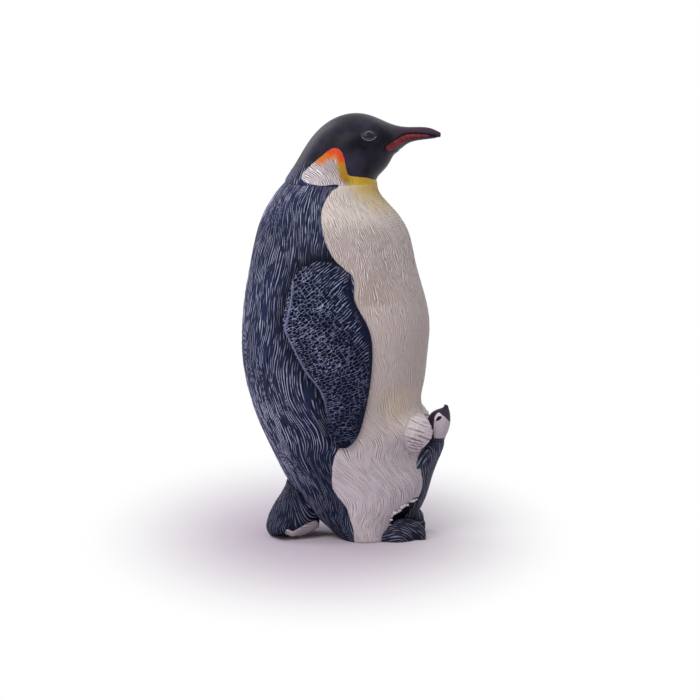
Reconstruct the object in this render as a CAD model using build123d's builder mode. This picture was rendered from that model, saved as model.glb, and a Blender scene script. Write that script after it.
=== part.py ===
from build123d import *
import math
import os

# Penguin figurine: an adult with a chick standing on its feet, in painted soft plastic.
# It is moulded in nine pieces that plug together on pegs and are glued.
# Frame: +X is the way the adult faces, +Y is its left, +Z is up, and the floor is Z = 0.
# The origin is on the floor, under the middle of the figurine's bounding box.
# Lengths are millimetres. A table of shares holds fractions of the sizes named beside it.

# Joints between mouldings
GLUE_GAP = 0.12         # film of glue between two skins that meet
PEG_CLEARANCE = 0.10    # radial room of a peg in its socket
PEG_END_GAP = 0.40      # room at the bottom of a socket
CUT_OVERRUN = 2.0       # how far a cutting solid runs past what it cuts

# Trunk, in level sections from the floor to the neck seam
SEAM_HEIGHT = 75.2      # floor to the flat neck seam
BACK_REACH = 22.0       # origin to the rearmost point of the back
BELLY_REACH = 17.5      # origin to the foremost point of the belly
TRUNK_HALF_WIDTH = 17.2
# height of SEAM_HEIGHT, back of BACK_REACH, front of BELLY_REACH, width of TRUNK_HALF_WIDTH
TRUNK_SHARES = (
    (0.000, 0.090, 0.590, 0.660),
    (0.035, 0.215, 0.650, 0.690),
    (0.070, 0.345, 0.790, 0.720),
    (0.120, 0.480, 0.930, 0.770),
    (0.170, 0.585, 0.965, 0.810),
    (0.240, 0.705, 0.905, 0.880),
    (0.300, 0.805, 0.955, 0.925),
    (0.360, 0.885, 0.885, 0.958),
    (0.430, 0.955, 0.928, 0.987),
    (0.520, 1.000, 0.975, 1.000),
    (0.600, 1.000, 1.000, 0.990),
    (0.690, 0.970, 0.930, 0.950),
    (0.780, 0.915, 0.823, 0.875),
    (0.870, 0.847, 0.725, 0.745),
    (0.920, 0.780, 0.580, 0.645),
    (0.960, 0.700, 0.420, 0.560),
    (1.000, 0.587, 0.371, 0.500),
)

# Brood folds: the two rolls of belly skin that run from the chick round to the flanks
FOLD_RADIUS = 4.2
FOLD_LIFT = 3.4         # how far a fold climbs from its middle to its outer end
FOLD_MIDDLE_SHARE = 0.306   # floor to the middle of a fold, of SEAM_HEIGHT
# y of TRUNK_HALF_WIDTH, climb of FOLD_LIFT, radius and depth under the skin of FOLD_RADIUS
FOLD_SHARES = (
    (0.17, -0.75, 0.30, 0.30),
    (0.27, -0.40, 0.74, 0.22),
    (0.40, 0.00, 1.00, 0.24),
    (0.55, 0.28, 0.98, 0.40),
    (0.69, 0.62, 0.80, 0.58),
    (0.80, 1.00, 0.46, 0.66),
)

# Head: neck and skull in sections that turn from level at the seam to upright at the face
HEAD_RISE = 14.5        # neck seam to crown
HEAD_LENGTH = 32.8      # nape at the seam to the bill's tip
HEAD_HALF_WIDTH = 8.6
SPIGOT_RADIUS = 5.0     # neck peg under the head
SPIGOT_LENGTH = 6.0
SPIGOT_FLAT = 1.2       # flat on the neck peg, which sets the way the head looks
# outer x of HEAD_LENGTH, outer z of HEAD_RISE, inner x, inner z, width of HEAD_HALF_WIDTH
HEAD_SHARES = (
    (0.014, 0.068, 0.594, 0.060, 0.990),
    (0.062, 0.243, 0.643, 0.189, 0.975),
    (0.131, 0.506, 0.686, 0.338, 0.945),
    (0.244, 0.815, 0.716, 0.426, 0.895),
    (0.439, 1.000, 0.738, 0.473, 0.790),
    (0.607, 0.918, 0.765, 0.520, 0.590),
    (0.716, 0.823, 0.802, 0.574, 0.360),
    (0.820, 0.801, 0.860, 0.608, 0.225),
    (0.940, 0.782, 0.950, 0.634, 0.155),
    (1.003, 0.716, 1.000, 0.650, 0.080),
)

# Flippers, in level sections from the tip up
FLIPPER_TIP_HEIGHT = 21.0
FLIPPER_LENGTH = 39.5
FLIPPER_WIDTH = 18.7    # across the blade at its elbow
FLIPPER_THICKNESS = 2.7
FLIPPER_EDGE = 0.9      # height of the blunt edge above the trunk
FLIPPER_SINK = 1.5      # how far the blank reaches under the trunk's skin before it is trimmed
FLIPPER_PEG_RADIUS = 1.5
FLIPPER_PEG_LENGTH = 4.0
# height of FLIPPER_LENGTH, rear and front edge of FLIPPER_WIDTH, thickness, edge
FLIPPER_SHARES = (
    (0.000, 0.030, 0.136, 0.45, 0.90),
    (0.045, -0.030, 0.238, 0.70, 1.00),
    (0.150, -0.083, 0.324, 0.85, 1.00),
    (0.280, -0.147, 0.382, 0.95, 1.00),
    (0.430, -0.361, 0.420, 1.00, 1.00),
    (0.557, -0.495, 0.420, 1.00, 1.00),
    (0.658, -0.575, 0.366, 1.00, 1.00),
    (0.759, -0.540, 0.250, 1.00, 1.00),
    (0.848, -0.500, 0.190, 0.84, 0.85),
    (0.920, -0.445, 0.165, 0.58, 0.60),
    (0.968, -0.375, 0.115, 0.38, 0.40),
    (1.000, -0.240, 0.010, 0.22, 0.25),
)
# places of the two pegs: height of FLIPPER_LENGTH, x of FLIPPER_WIDTH
FLIPPER_PEG_SHARES = ((0.40, 0.02), (0.76, -0.14))

# Tail, in level sections from the floor up
TAIL_HEIGHT = 12.5      # floor to the top of the tail's root
TAIL_LENGTH = 7.0       # front to back where it meets the floor
TAIL_HALF_WIDTH = 9.0
TAIL_PEG_RADIUS = 1.8
TAIL_PEG_LENGTH = 5.0
TAIL_PEG_TILT = 45      # degrees that the peg rises from level
# height of TAIL_HEIGHT, rear and front of TAIL_LENGTH, width of TAIL_HALF_WIDTH
TAIL_SHARES = (
    (0.00, -0.470, 0.200, 1.00),
    (0.10, -0.575, 0.480, 1.02),
    (0.21, -0.585, 0.860, 0.98),
    (0.36, -0.500, 1.200, 0.88),
    (0.60, -0.270, 1.260, 0.74),
    (1.00, 0.000, 1.260, 0.64),
)
# middle of the tail's root, where its peg starts: x of TAIL_LENGTH, height of TAIL_HEIGHT
TAIL_PEG_SHARES = (0.45, 0.62)

# Feet: an instep that runs back under the belly, and toes that fan out from it
FOOT_LENGTH = 6.5       # belly at the floor to the tip of the middle toe
FOOT_SPACING = 12.8     # between the middles of the two feet
INSTEP_HALF_WIDTH = 4.3
INSTEP_HEIGHT = 5.0
TOE_RADIUS = 2.2
TOE_SPLAY = 34          # degrees from the middle toe to the outer one
FOOT_PEG_RADIUS = 1.4
FOOT_PEG_LENGTH = 4.5
# x of FOOT_LENGTH ahead of the belly, width of INSTEP_HALF_WIDTH, height of INSTEP_HEIGHT
INSTEP_SHARES = (
    (-0.45, 0.84, 1.00),
    (-0.10, 0.96, 1.00),
    (0.12, 1.00, 0.96),
    (0.28, 0.92, 0.82),
    (0.42, 0.70, 0.56),
)
# the three toes from the outer one: turn of TOE_SPLAY, length of FOOT_LENGTH
TOE_FAN_SHARES = ((-1.00, 0.66), (0.00, 1.00), (0.80, 0.84))
# x along the toe, middle height of TOE_RADIUS, radius of TOE_RADIUS
TOE_SHARES = (
    (0.00, 0.90, 0.98),
    (0.40, 0.92, 1.00),
    (0.70, 0.80, 0.94),
    (0.88, 0.58, 0.76),
    (1.00, 0.30, 0.40),
)

# Chick: body and head, in sections that lean forward, with small flippers and feet
CHICK_FLOOR = 4.2       # floor to the underside of the chick
CHICK_BODY_HEIGHT = 16.0
CHICK_HEAD_HEIGHT = 7.7
CHICK_DEPTH = 6.5
CHICK_HALF_WIDTH = 4.5
CHICK_PEG_RADIUS = 1.3
CHICK_PEG_LENGTH = 3.5
CHICK_NECK_PEG_RADIUS = 1.1
CHICK_NECK_PEG_LENGTH = 2.4
CHICK_FLIPPER_LENGTH = 4.2
CHICK_FLIPPER_RADIUS = 1.2
CHICK_FOOT_LENGTH = 3.4
CHICK_FOOT_RADIUS = 1.3
# back x of CHICK_DEPTH, back z of the height, front x, front z, width of CHICK_HALF_WIDTH
CHICK_BODY_SHARES = (
    (-0.830, 0.000, -0.300, 0.000, 0.800),
    (-0.785, 0.206, -0.010, 0.206, 0.955),
    (-0.660, 0.425, 0.150, 0.400, 1.000),
    (-0.446, 0.675, 0.345, 0.650, 0.933),
    (-0.138, 0.862, 0.545, 0.844, 0.755),
    (0.062, 1.000, 0.640, 1.000, 0.556),
)
CHICK_HEAD_SHARES = (
    (0.062, 0.000, 0.640, 0.000, 0.556),
    (0.046, 0.273, 0.770, 0.273, 0.620),
    (0.085, 0.560, 0.830, 0.500, 0.620),
    (0.246, 0.780, 0.832, 0.662, 0.490),
    (0.508, 0.883, 0.810, 0.792, 0.244),
    (0.625, 1.000, 0.752, 0.974, 0.080),
)
# height of the chick's peg into the belly, as a share of CHICK_BODY_HEIGHT
CHICK_PEG_SHARE = 0.45
# top of a chick's flipper: x of CHICK_DEPTH, height of CHICK_BODY_HEIGHT, y of CHICK_HALF_WIDTH
CHICK_FLIPPER_SHARES = (-0.16, 0.80, 0.86)
# along a chick's flipper from its tip: length, x leaning back of the length, radius
CHICK_BLADE_SHARES = (
    (0.00, -0.16, 0.40),
    (0.25, -0.12, 0.90),
    (0.60, -0.04, 1.00),
    (1.00, 0.00, 0.50),
)
# heel of a chick's foot: x of CHICK_DEPTH, y of CHICK_HALF_WIDTH
CHICK_HEEL_SHARES = (-0.56, 0.40)
# along a chick's foot from its heel: length, rise of CHICK_FOOT_RADIUS, radius
CHICK_FOOT_SHARES = (
    (0.00, 0.40, 0.70),
    (0.35, 0.35, 1.00),
    (0.75, -0.05, 0.85),
    (1.00, -0.40, 0.35),
)


# Blanks: smooth solids through oval sections


def oval(plane, depth, half_width):
    """An oval section, drawn as four quarters so that its neighbours line up with it."""
    with BuildSketch(plane) as outline:
        with BuildLine():
            for start in (0, 90, 180, 270):
                EllipticalCenterArc((0, 0), depth, half_width, start_angle=start, arc_size=90)
        make_face()
    return outline.sketch


def smooth_solid(sections):
    """One solid that passes smoothly through a list of sections."""
    with BuildPart() as blank:
        loft(sections)
    return blank.part


def level_blank(stations):
    """A solid through level ovals: each station is a height, a middle and two radii."""
    return smooth_solid([
        oval(Plane((x, y, height)), depth, half_width)
        for height, x, y, depth, half_width in stations
    ])


def leaning_blank(stations, grow=0):
    """A solid through leaning ovals: each station is two outline points and a half width."""
    sections = []
    for back_x, back_z, front_x, front_z, half_width in stations:
        along = Vector(front_x - back_x, 0, front_z - back_z)
        middle = Vector((front_x + back_x) / 2, 0, (front_z + back_z) / 2)
        plane = Plane(middle, x_dir=along, z_dir=along.cross(Vector(0, 1, 0)))
        sections.append(oval(plane, along.length / 2 + grow, half_width + grow))
    return smooth_solid(sections)


def beam(start, ahead, stations):
    """A solid through upright ovals along a level direction: way along, rise, half width, height."""
    sections = []
    for along, rise, half_width, height in stations:
        middle = start + ahead * along + Vector(0, 0, rise)
        plane = Plane(middle, x_dir=(0, 0, 1), z_dir=ahead)
        sections.append(oval(plane, height, half_width))
    return smooth_solid(sections)


# Trunk


def trunk_section(height):
    """Back x, front x and half width of the trunk at a height, between its stations."""
    share = min(max(height / SEAM_HEIGHT, 0), 1)
    for low, high in zip(TRUNK_SHARES, TRUNK_SHARES[1:]):
        if share <= high[0]:
            break
    part_way = (share - low[0]) / (high[0] - low[0])
    back, front, width = (a + (b - a) * part_way for a, b in zip(low[1:], high[1:]))
    return -BACK_REACH * back, BELLY_REACH * front, TRUNK_HALF_WIDTH * width


def trunk_flank(x, height):
    """Half width of the trunk at a place along X and a height."""
    back, front, half_width = trunk_section(height)
    off_middle = (2 * x - front - back) / (front - back)
    return half_width * math.sqrt(max(1 - off_middle**2, 0))


def trunk_front(y, height):
    """Front x of the trunk at a place along Y and a height."""
    back, front, half_width = trunk_section(height)
    return (front + back) / 2 + (front - back) / 2 * math.sqrt(max(1 - (y / half_width)**2, 0))


def trunk_blank(grow=0):
    """The bare trunk, grown outwards by the glue gap where it trims another piece."""
    stations = []
    for share, *_ in TRUNK_SHARES:
        height = SEAM_HEIGHT * share
        back, front, half_width = trunk_section(height)
        stations.append((height, (front + back) / 2, 0, (front - back) / 2 + grow, half_width + grow))
    return level_blank(stations)


def fold_blank(side):
    """One brood fold, a soft roll that follows the belly and sinks into the flank."""
    spine = []
    for width, climb, _, depth in FOLD_SHARES:
        y = TRUNK_HALF_WIDTH * width
        height = SEAM_HEIGHT * FOLD_MIDDLE_SHARE + FOLD_LIFT * climb
        back, front, half_width = trunk_section(height)
        skin = Vector(trunk_front(y, height), side * y, height)
        middle = Vector((front + back) / 2, 0, height)
        spine.append(skin + (middle - skin).normalized() * FOLD_RADIUS * depth)
    sections = []
    for place, (_, _, share, _) in enumerate(FOLD_SHARES):
        ahead = spine[min(place + 1, len(spine) - 1)] - spine[max(place - 1, 0)]
        plane = Plane(spine[place], x_dir=ahead.cross(Vector(0, 0, 1)), z_dir=ahead)
        sections.append(oval(plane, FOLD_RADIUS * share, FOLD_RADIUS * share))
    return smooth_solid(sections)


# Pegs and sockets


def round_pin(plane, radius, start, end):
    """A round pin along a plane's normal, between two distances from its origin."""
    base = Plane(plane.origin + plane.z_dir * start, x_dir=plane.x_dir, z_dir=plane.z_dir)
    with BuildPart() as pin:
        with BuildSketch(base):
            Circle(radius)
        extrude(amount=end - start)
    return pin.part


def peg(plane, radius, length):
    """A peg that stands out of its own piece, rooted in it by one radius."""
    return round_pin(plane, radius, -radius, length)


def socket(plane, radius, length):
    """The cutter of a peg's socket, with clearance round the peg and at its end."""
    return round_pin(plane, radius + PEG_CLEARANCE, -CUT_OVERRUN, length + PEG_END_GAP)


def keyed_pin(plane, radius, flat, length):
    """The neck spigot or the cutter of its socket: a round pin with a flat behind."""
    with BuildPart() as pin:
        with BuildSketch(plane):
            Circle(radius)
            with Locations((-radius, 0)):
                Rectangle(2 * flat, 2 * radius, mode=Mode.SUBTRACT)
        extrude(amount=length)
    return pin.part


neck_back, neck_front, neck_half_width = trunk_section(SEAM_HEIGHT)
neck_plane = Plane(((neck_front + neck_back) / 2, 0, SEAM_HEIGHT), x_dir=(1, 0, 0), z_dir=(0, 0, -1))

flipper_back, flipper_front, _ = trunk_section(FLIPPER_TIP_HEIGHT + FLIPPER_LENGTH / 2)
flipper_x = (flipper_back + flipper_front) / 2


def flipper_peg_plane(side, share):
    """Where a flipper's peg enters the flank, looking inwards."""
    height = FLIPPER_TIP_HEIGHT + FLIPPER_LENGTH * share[0]
    x = flipper_x + FLIPPER_WIDTH * share[1]
    return Plane((x, side * trunk_flank(x, height), height), x_dir=(1, 0, 0), z_dir=(0, -side, 0))


rump_x = trunk_section(TAIL_HEIGHT)[0]
tail_peg_rise = math.radians(TAIL_PEG_TILT)
tail_peg_plane = Plane(
    (rump_x + TAIL_LENGTH * TAIL_PEG_SHARES[0], 0, TAIL_HEIGHT * TAIL_PEG_SHARES[1]),
    x_dir=(0, 1, 0),
    z_dir=(math.cos(tail_peg_rise), 0, math.sin(tail_peg_rise)),
)

foot_x = trunk_section(0)[1]
foot_peg_height = INSTEP_HEIGHT / 2


def foot_peg_plane(side):
    """Where a foot's peg enters the belly, looking back."""
    y = side * FOOT_SPACING / 2
    x = trunk_front(y, foot_peg_height)
    return Plane((x, y, foot_peg_height), x_dir=(0, 1, 0), z_dir=(-1, 0, 0))


chick_seam = CHICK_FLOOR + CHICK_BODY_HEIGHT
chick_peg_height = CHICK_FLOOR + CHICK_BODY_HEIGHT * CHICK_PEG_SHARE
chick_x = trunk_section(chick_peg_height)[1]


def chick_stations(shares, floor, height):
    """Stations of the chick's body or head, set out from the belly behind it."""
    return [
        (
            chick_x + CHICK_DEPTH * back_x,
            floor + height * back_z,
            chick_x + CHICK_DEPTH * front_x,
            floor + height * front_z,
            CHICK_HALF_WIDTH * width,
        )
        for back_x, back_z, front_x, front_z, width in shares
    ]


chick_body_stations = chick_stations(CHICK_BODY_SHARES, CHICK_FLOOR, CHICK_BODY_HEIGHT)
chick_head_stations = chick_stations(CHICK_HEAD_SHARES, chick_seam, CHICK_HEAD_HEIGHT)
chick_back_x = chick_body_stations[2][0]
neck_middles = [(back_x + front_x) / 2 for back_x, _, front_x, _, _ in chick_body_stations[-2:]]
chick_neck_x = sum(neck_middles) / len(neck_middles)
chick_peg_plane = Plane((chick_back_x, 0, chick_peg_height), x_dir=(0, 1, 0), z_dir=(-1, 0, 0))
chick_neck_plane = Plane((chick_neck_x, 0, chick_seam), x_dir=(1, 0, 0), z_dir=(0, 0, -1))


def chick_flipper_blank(side, grow=0):
    """One of the chick's flippers, a small leaf that hangs from its shoulder."""
    x, height, y = CHICK_FLIPPER_SHARES
    top = CHICK_FLOOR + CHICK_BODY_HEIGHT * height
    return level_blank([
        (
            top - CHICK_FLIPPER_LENGTH * (1 - along),
            chick_x + CHICK_DEPTH * x + CHICK_FLIPPER_LENGTH * lean,
            side * CHICK_HALF_WIDTH * y,
            CHICK_FLIPPER_RADIUS * radius + grow,
            CHICK_FLIPPER_RADIUS * radius + grow,
        )
        for along, lean, radius in CHICK_BLADE_SHARES
    ])


def chick_foot_blank(side, grow=0):
    """One of the chick's feet, a soft lobe that rests between the adult's toes."""
    heel_x, heel_y = CHICK_HEEL_SHARES
    heel = Vector(chick_x + CHICK_DEPTH * heel_x, side * CHICK_HALF_WIDTH * heel_y, CHICK_FLOOR)
    stations = []
    for along, rise, radius in CHICK_FOOT_SHARES:
        thick = CHICK_FOOT_RADIUS * radius + grow
        stations.append((CHICK_FOOT_LENGTH * along, CHICK_FOOT_RADIUS * rise, thick, thick))
    return beam(heel, Vector(1, 0, 0), stations)


# Torso: trunk and brood folds in one moulding, with a niche for the chick and its sockets

with BuildPart() as torso:
    add(trunk_blank())
    for side in (-1, 1):
        add(fold_blank(side))
    add(leaning_blank(chick_body_stations, GLUE_GAP), mode=Mode.SUBTRACT)
    add(leaning_blank(chick_head_stations, GLUE_GAP), mode=Mode.SUBTRACT)
    for side in (-1, 1):
        add(chick_flipper_blank(side, GLUE_GAP), mode=Mode.SUBTRACT)
        add(chick_foot_blank(side, GLUE_GAP), mode=Mode.SUBTRACT)
        add(socket(foot_peg_plane(side), FOOT_PEG_RADIUS, FOOT_PEG_LENGTH), mode=Mode.SUBTRACT)
        for share in FLIPPER_PEG_SHARES:
            hole = socket(flipper_peg_plane(side, share), FLIPPER_PEG_RADIUS, FLIPPER_PEG_LENGTH)
            add(hole, mode=Mode.SUBTRACT)
    add(socket(tail_peg_plane, TAIL_PEG_RADIUS, TAIL_PEG_LENGTH), mode=Mode.SUBTRACT)
    add(socket(chick_peg_plane, CHICK_PEG_RADIUS, CHICK_PEG_LENGTH), mode=Mode.SUBTRACT)
    neck_socket = keyed_pin(
        neck_plane, SPIGOT_RADIUS + PEG_CLEARANCE, SPIGOT_FLAT, SPIGOT_LENGTH + PEG_END_GAP
    )
    add(neck_socket, mode=Mode.SUBTRACT)
torso.part.label = "torso"


# Head: neck, skull and bill in one moulding, on a keyed spigot


def head_stations():
    """Stations of the neck, skull and bill, set out from the nape at the seam."""
    return [
        (
            neck_back + HEAD_LENGTH * outer_x,
            SEAM_HEIGHT + HEAD_RISE * outer_z,
            neck_back + HEAD_LENGTH * inner_x,
            SEAM_HEIGHT + HEAD_RISE * inner_z,
            HEAD_HALF_WIDTH * width,
        )
        for outer_x, outer_z, inner_x, inner_z, width in HEAD_SHARES
    ]


with BuildPart() as head:
    seam = (neck_back, SEAM_HEIGHT, neck_front, SEAM_HEIGHT, neck_half_width)
    add(leaning_blank([seam, *head_stations()]))
    add(keyed_pin(neck_plane, SPIGOT_RADIUS, SPIGOT_FLAT, SPIGOT_LENGTH))
head.part.label = "head"


# Flippers: domed blades that hug the flanks, each on two pegs

with BuildPart() as right_flipper:
    for height_share, rear_share, front_share, thickness_share, edge_share in FLIPPER_SHARES:
        height = FLIPPER_TIP_HEIGHT + FLIPPER_LENGTH * height_share
        rear = flipper_x + FLIPPER_WIDTH * rear_share
        front = flipper_x + FLIPPER_WIDTH * front_share
        middle = (rear + front) / 2
        edge = FLIPPER_EDGE * edge_share
        outer = [
            (rear, -trunk_flank(rear, height) - edge),
            (middle, -trunk_flank(middle, height) - FLIPPER_THICKNESS * thickness_share),
            (front, -trunk_flank(front, height) - edge),
        ]
        inner = [(x, FLIPPER_SINK - trunk_flank(x, height)) for x in (front, middle, rear)]
        with BuildSketch(Plane.XY.offset(height)):
            with BuildLine():
                ThreePointArc(*outer)
                Line(outer[2], inner[0])
                ThreePointArc(*inner)
                Line(inner[2], outer[0])
            make_face()
    loft()
    add(trunk_blank(GLUE_GAP), mode=Mode.SUBTRACT)
    for share in FLIPPER_PEG_SHARES:
        add(peg(flipper_peg_plane(-1, share), FLIPPER_PEG_RADIUS, FLIPPER_PEG_LENGTH))
right_flipper.part.label = "right_flipper"

with BuildPart() as left_flipper:
    mirror(right_flipper.part, about=Plane.XZ)
left_flipper.part.label = "left_flipper"


# Tail: a short stiff fan that props the figurine up from behind

with BuildPart() as tail:
    stations = []
    for height, rear, front, width in TAIL_SHARES:
        stations.append((
            TAIL_HEIGHT * height,
            rump_x + TAIL_LENGTH * (rear + front) / 2,
            0,
            TAIL_LENGTH * (front - rear) / 2,
            TAIL_HALF_WIDTH * width,
        ))
    add(level_blank(stations))
    add(trunk_blank(GLUE_GAP), mode=Mode.SUBTRACT)
    add(peg(tail_peg_plane, TAIL_PEG_RADIUS, TAIL_PEG_LENGTH))
tail.part.label = "tail"


# Feet: an instep with three clawed toes, flat on the floor

with BuildPart() as right_foot:
    heel = Vector(foot_x, -FOOT_SPACING / 2, 0)
    instep = [
        (FOOT_LENGTH * x, 0, INSTEP_HALF_WIDTH * width, INSTEP_HEIGHT * height)
        for x, width, height in INSTEP_SHARES
    ]
    add(beam(heel, Vector(1, 0, 0), instep))
    for turn, reach in TOE_FAN_SHARES:
        toe = [
            (FOOT_LENGTH * reach * along, TOE_RADIUS * height, TOE_RADIUS * radius, TOE_RADIUS * radius)
            for along, height, radius in TOE_SHARES
        ]
        add(beam(heel, Vector(1, 0, 0).rotate(Axis.Z, TOE_SPLAY * turn), toe))
    split(bisect_by=Plane.XY, keep=Keep.TOP)
    add(trunk_blank(GLUE_GAP), mode=Mode.SUBTRACT)
    add(peg(foot_peg_plane(-1), FOOT_PEG_RADIUS, FOOT_PEG_LENGTH))
right_foot.part.label = "right_foot"

with BuildPart() as left_foot:
    mirror(right_foot.part, about=Plane.XZ)
left_foot.part.label = "left_foot"


# Chick: a body that leans out of its niche, and a head that looks up

with BuildPart() as chick_body:
    add(leaning_blank(chick_body_stations))
    for side in (-1, 1):
        add(chick_flipper_blank(side))
        add(chick_foot_blank(side))
    add(peg(chick_peg_plane, CHICK_PEG_RADIUS, CHICK_PEG_LENGTH))
    neck_hole = socket(chick_neck_plane, CHICK_NECK_PEG_RADIUS, CHICK_NECK_PEG_LENGTH)
    add(neck_hole, mode=Mode.SUBTRACT)
chick_body.part.label = "chick_body"

with BuildPart() as chick_head:
    add(leaning_blank(chick_head_stations))
    add(peg(chick_neck_plane, CHICK_NECK_PEG_RADIUS, CHICK_NECK_PEG_LENGTH))
chick_head.part.label = "chick_head"


# Files

os.makedirs("parts", exist_ok=True)
pieces = (torso, head, right_flipper, left_flipper, tail, right_foot, left_foot, chick_body, chick_head)
for piece in pieces:
    export_step(piece.part, f"parts/{piece.part.label}.step")
    box = piece.part.bounding_box()
    print(piece.part.label, "solids", len(piece.part.solids()), "from", box.min, "to", box.max)
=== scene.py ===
# %% [markdown]
# # A painted penguin figurine
# The figurine is a solid plastic casting, nine centimetres tall, that somebody has
# painted by hand: a penguin with a chick standing on its feet. The solids give its nine
# pieces and their places, but they are smooth. This lesson carves feathers into copies of
# them and paints those. Borders between paints are read off a photograph and shot at the
# solids, so that each lies on the piece it belongs to.

# %% Load the solids
import math

import bmesh
import bpy
import numpy as np
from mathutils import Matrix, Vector
from mathutils.bvhtree import BVHTree


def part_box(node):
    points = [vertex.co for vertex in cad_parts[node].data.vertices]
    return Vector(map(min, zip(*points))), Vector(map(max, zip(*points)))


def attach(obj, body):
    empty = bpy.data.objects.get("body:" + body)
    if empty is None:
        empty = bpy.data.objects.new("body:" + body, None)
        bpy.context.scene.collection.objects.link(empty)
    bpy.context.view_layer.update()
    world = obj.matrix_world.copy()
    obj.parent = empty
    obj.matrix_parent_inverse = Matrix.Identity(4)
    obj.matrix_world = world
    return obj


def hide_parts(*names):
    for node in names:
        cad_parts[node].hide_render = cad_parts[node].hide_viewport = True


MM = 0.001
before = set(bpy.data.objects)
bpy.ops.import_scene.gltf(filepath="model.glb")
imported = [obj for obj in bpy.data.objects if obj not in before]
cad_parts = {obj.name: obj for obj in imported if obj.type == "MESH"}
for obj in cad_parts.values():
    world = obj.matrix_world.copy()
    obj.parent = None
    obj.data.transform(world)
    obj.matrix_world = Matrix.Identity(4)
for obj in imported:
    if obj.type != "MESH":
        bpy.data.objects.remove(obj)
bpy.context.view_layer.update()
scene = bpy.context.scene
print("solids:", sorted(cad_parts))

# %% [markdown]
# ## The camera
# The photograph was taken square to the penguin's right side, a little from above and
# from well back with a long lens. A camera can be set by eye until the outlines meet.
# This one is worked out, because spots in the photograph are shot at the solids later: a
# pixel covers a fifth of a millimetre at the middle of the figurine, and that with the
# distance gives the lens.

# %% Place the camera
PHOTO_SIDE = 700
PIXEL = 0.2112 * MM
CAMERA_DISTANCE = 1500 * MM
CAMERA_TILT = math.radians(8)
CAMERA_AIM = Vector((0.845, 0, 39.46)) * MM
NEAREST_SEEN = 10 * MM

RIGHT = Vector((1, 0, 0))
AHEAD = Vector((0, math.cos(CAMERA_TILT), -math.sin(CAMERA_TILT)))
UP = RIGHT.cross(AHEAD)

camera = bpy.data.objects.new("photo_camera", bpy.data.cameras.new("photo_camera"))
scene.collection.objects.link(camera)
scene.camera = camera
camera.data.lens = camera.data.sensor_width * CAMERA_DISTANCE / (PHOTO_SIDE * PIXEL)
camera.data.clip_start = NEAREST_SEEN
camera.location = CAMERA_AIM - AHEAD * CAMERA_DISTANCE
camera.rotation_euler = (math.pi / 2 - CAMERA_TILT, 0, 0)
print(f"lens {camera.data.lens:.1f} mm")

# %% [markdown]
# ## From a spot in the photograph to a spot on the figurine
# Where one paint ends and the next begins is easiest to read off the photograph, in
# pixels. Such borders could be drawn by hand on an unwrapped skin. A ray from the camera
# through the pixel needs no unwrapping: it meets the solid where that paint lies. The
# borders are kept in side view, as x and z, so that one border serves both sides.

# %% Shoot photograph spots at a solid
def solid_tree(name):
    """A search tree of one solid, for shooting rays at it."""
    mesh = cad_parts[name].data
    corners = [v.co.copy() for v in mesh.vertices]
    return BVHTree.FromPolygons(corners, [tuple(p.vertices) for p in mesh.polygons])


def photo_ray(x, y):
    """The direction from the camera through one pixel of the photograph."""
    middle = PHOTO_SIDE / 2
    across, down = (x - middle) * PIXEL, (y - middle) * PIXEL
    return (AHEAD * CAMERA_DISTANCE + RIGHT * across - UP * down).normalized()


def photo_spot(x, y, tree):
    """Where a pixel lies on the solid, or on its middle plane if the ray misses."""
    ray = photo_ray(x, y)
    hit = tree.ray_cast(camera.location, ray)[0]
    if hit is None:
        hit = camera.location - ray * (camera.location.y / ray.y)
    return hit


def photo_line(pixels, tree):
    """A line of pixels as (x, z) on the solid."""
    return np.array([(hit.x, hit.z) for hit in (photo_spot(x, y, tree) for x, y in pixels)])


TREES = {name: solid_tree(name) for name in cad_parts}
print("search trees:", len(TREES))

# %% [markdown]
# A border drawn through a dozen spots would look like a polygon. More spots would cure
# that, but a smooth line through the same few is easier to change. Each span of this line
# is a cubic that takes its direction from the spots before and after it.

# %% Round a line off
LINE_STEPS = 6
UNIT_SQUARE = np.array(((0, 0), (1, 0), (1, 1), (0, 1)), float)


def flowing(points, closed=False):
    """The same points on a smooth line, with LINE_STEPS points for each span."""
    ring = np.concatenate([points[-1:], points, points[:2]]) if closed else \
        np.concatenate([2 * points[:1] - points[1:2], points, 2 * points[-1:] - points[-2:-1]])
    line = []
    for before, start, end, after in zip(ring, ring[1:], ring[2:], ring[3:]):
        for t in np.linspace(0, 1, LINE_STEPS, endpoint=False):
            line.append(start + 0.5 * t * (end - before + t * (2 * before - 5 * start
                        + 4 * end - after + t * (3 * (start - end) + after - before))))
    return np.array(line if closed else line + [points[-1]])


print("a square, rounded off:", len(flowing(UNIT_SQUARE, closed=True)), "points")

# %% [markdown]
# Carving and paint ask the same two things of a border: how far a vertex is from it, and
# on which side it lies. The second is answered by counting how often a level path from
# the vertex crosses the outline. A painted mask could only say yes or no. A distance can
# be made soft, sharp or shaky later.

# %% Measure from a border
SHORTEST = 1e-18


def line_distance(spots, line, closed=False):
    """How far each (x, z) spot is from a line."""
    best = np.full(len(spots), np.inf)
    ends = np.roll(line, -1, axis=0) if closed else line[1:]
    for start, end in zip(line, ends):
        along = end - start
        share = np.clip((spots - start) @ along / max(along @ along, SHORTEST), 0, 1)
        gap = spots - start - share[:, None] * along
        best = np.minimum(best, np.hypot(gap[:, 0], gap[:, 1]))
    return best


def inside_distance(spots, outline):
    """How far each spot is from a closed outline, positive inside and negative outside."""
    inside = np.zeros(len(spots), bool)
    for (x0, z0), (x1, z1) in zip(outline, np.roll(outline, -1, axis=0)):
        if z0 != z1:
            crossed = (z0 > spots[:, 1]) != (z1 > spots[:, 1])
            inside ^= crossed & (spots[:, 0] < x0 + (spots[:, 1] - z0) / (z1 - z0) * (x1 - x0))
    away = line_distance(spots, outline, closed=True)
    return np.where(inside, away, -away)


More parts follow.
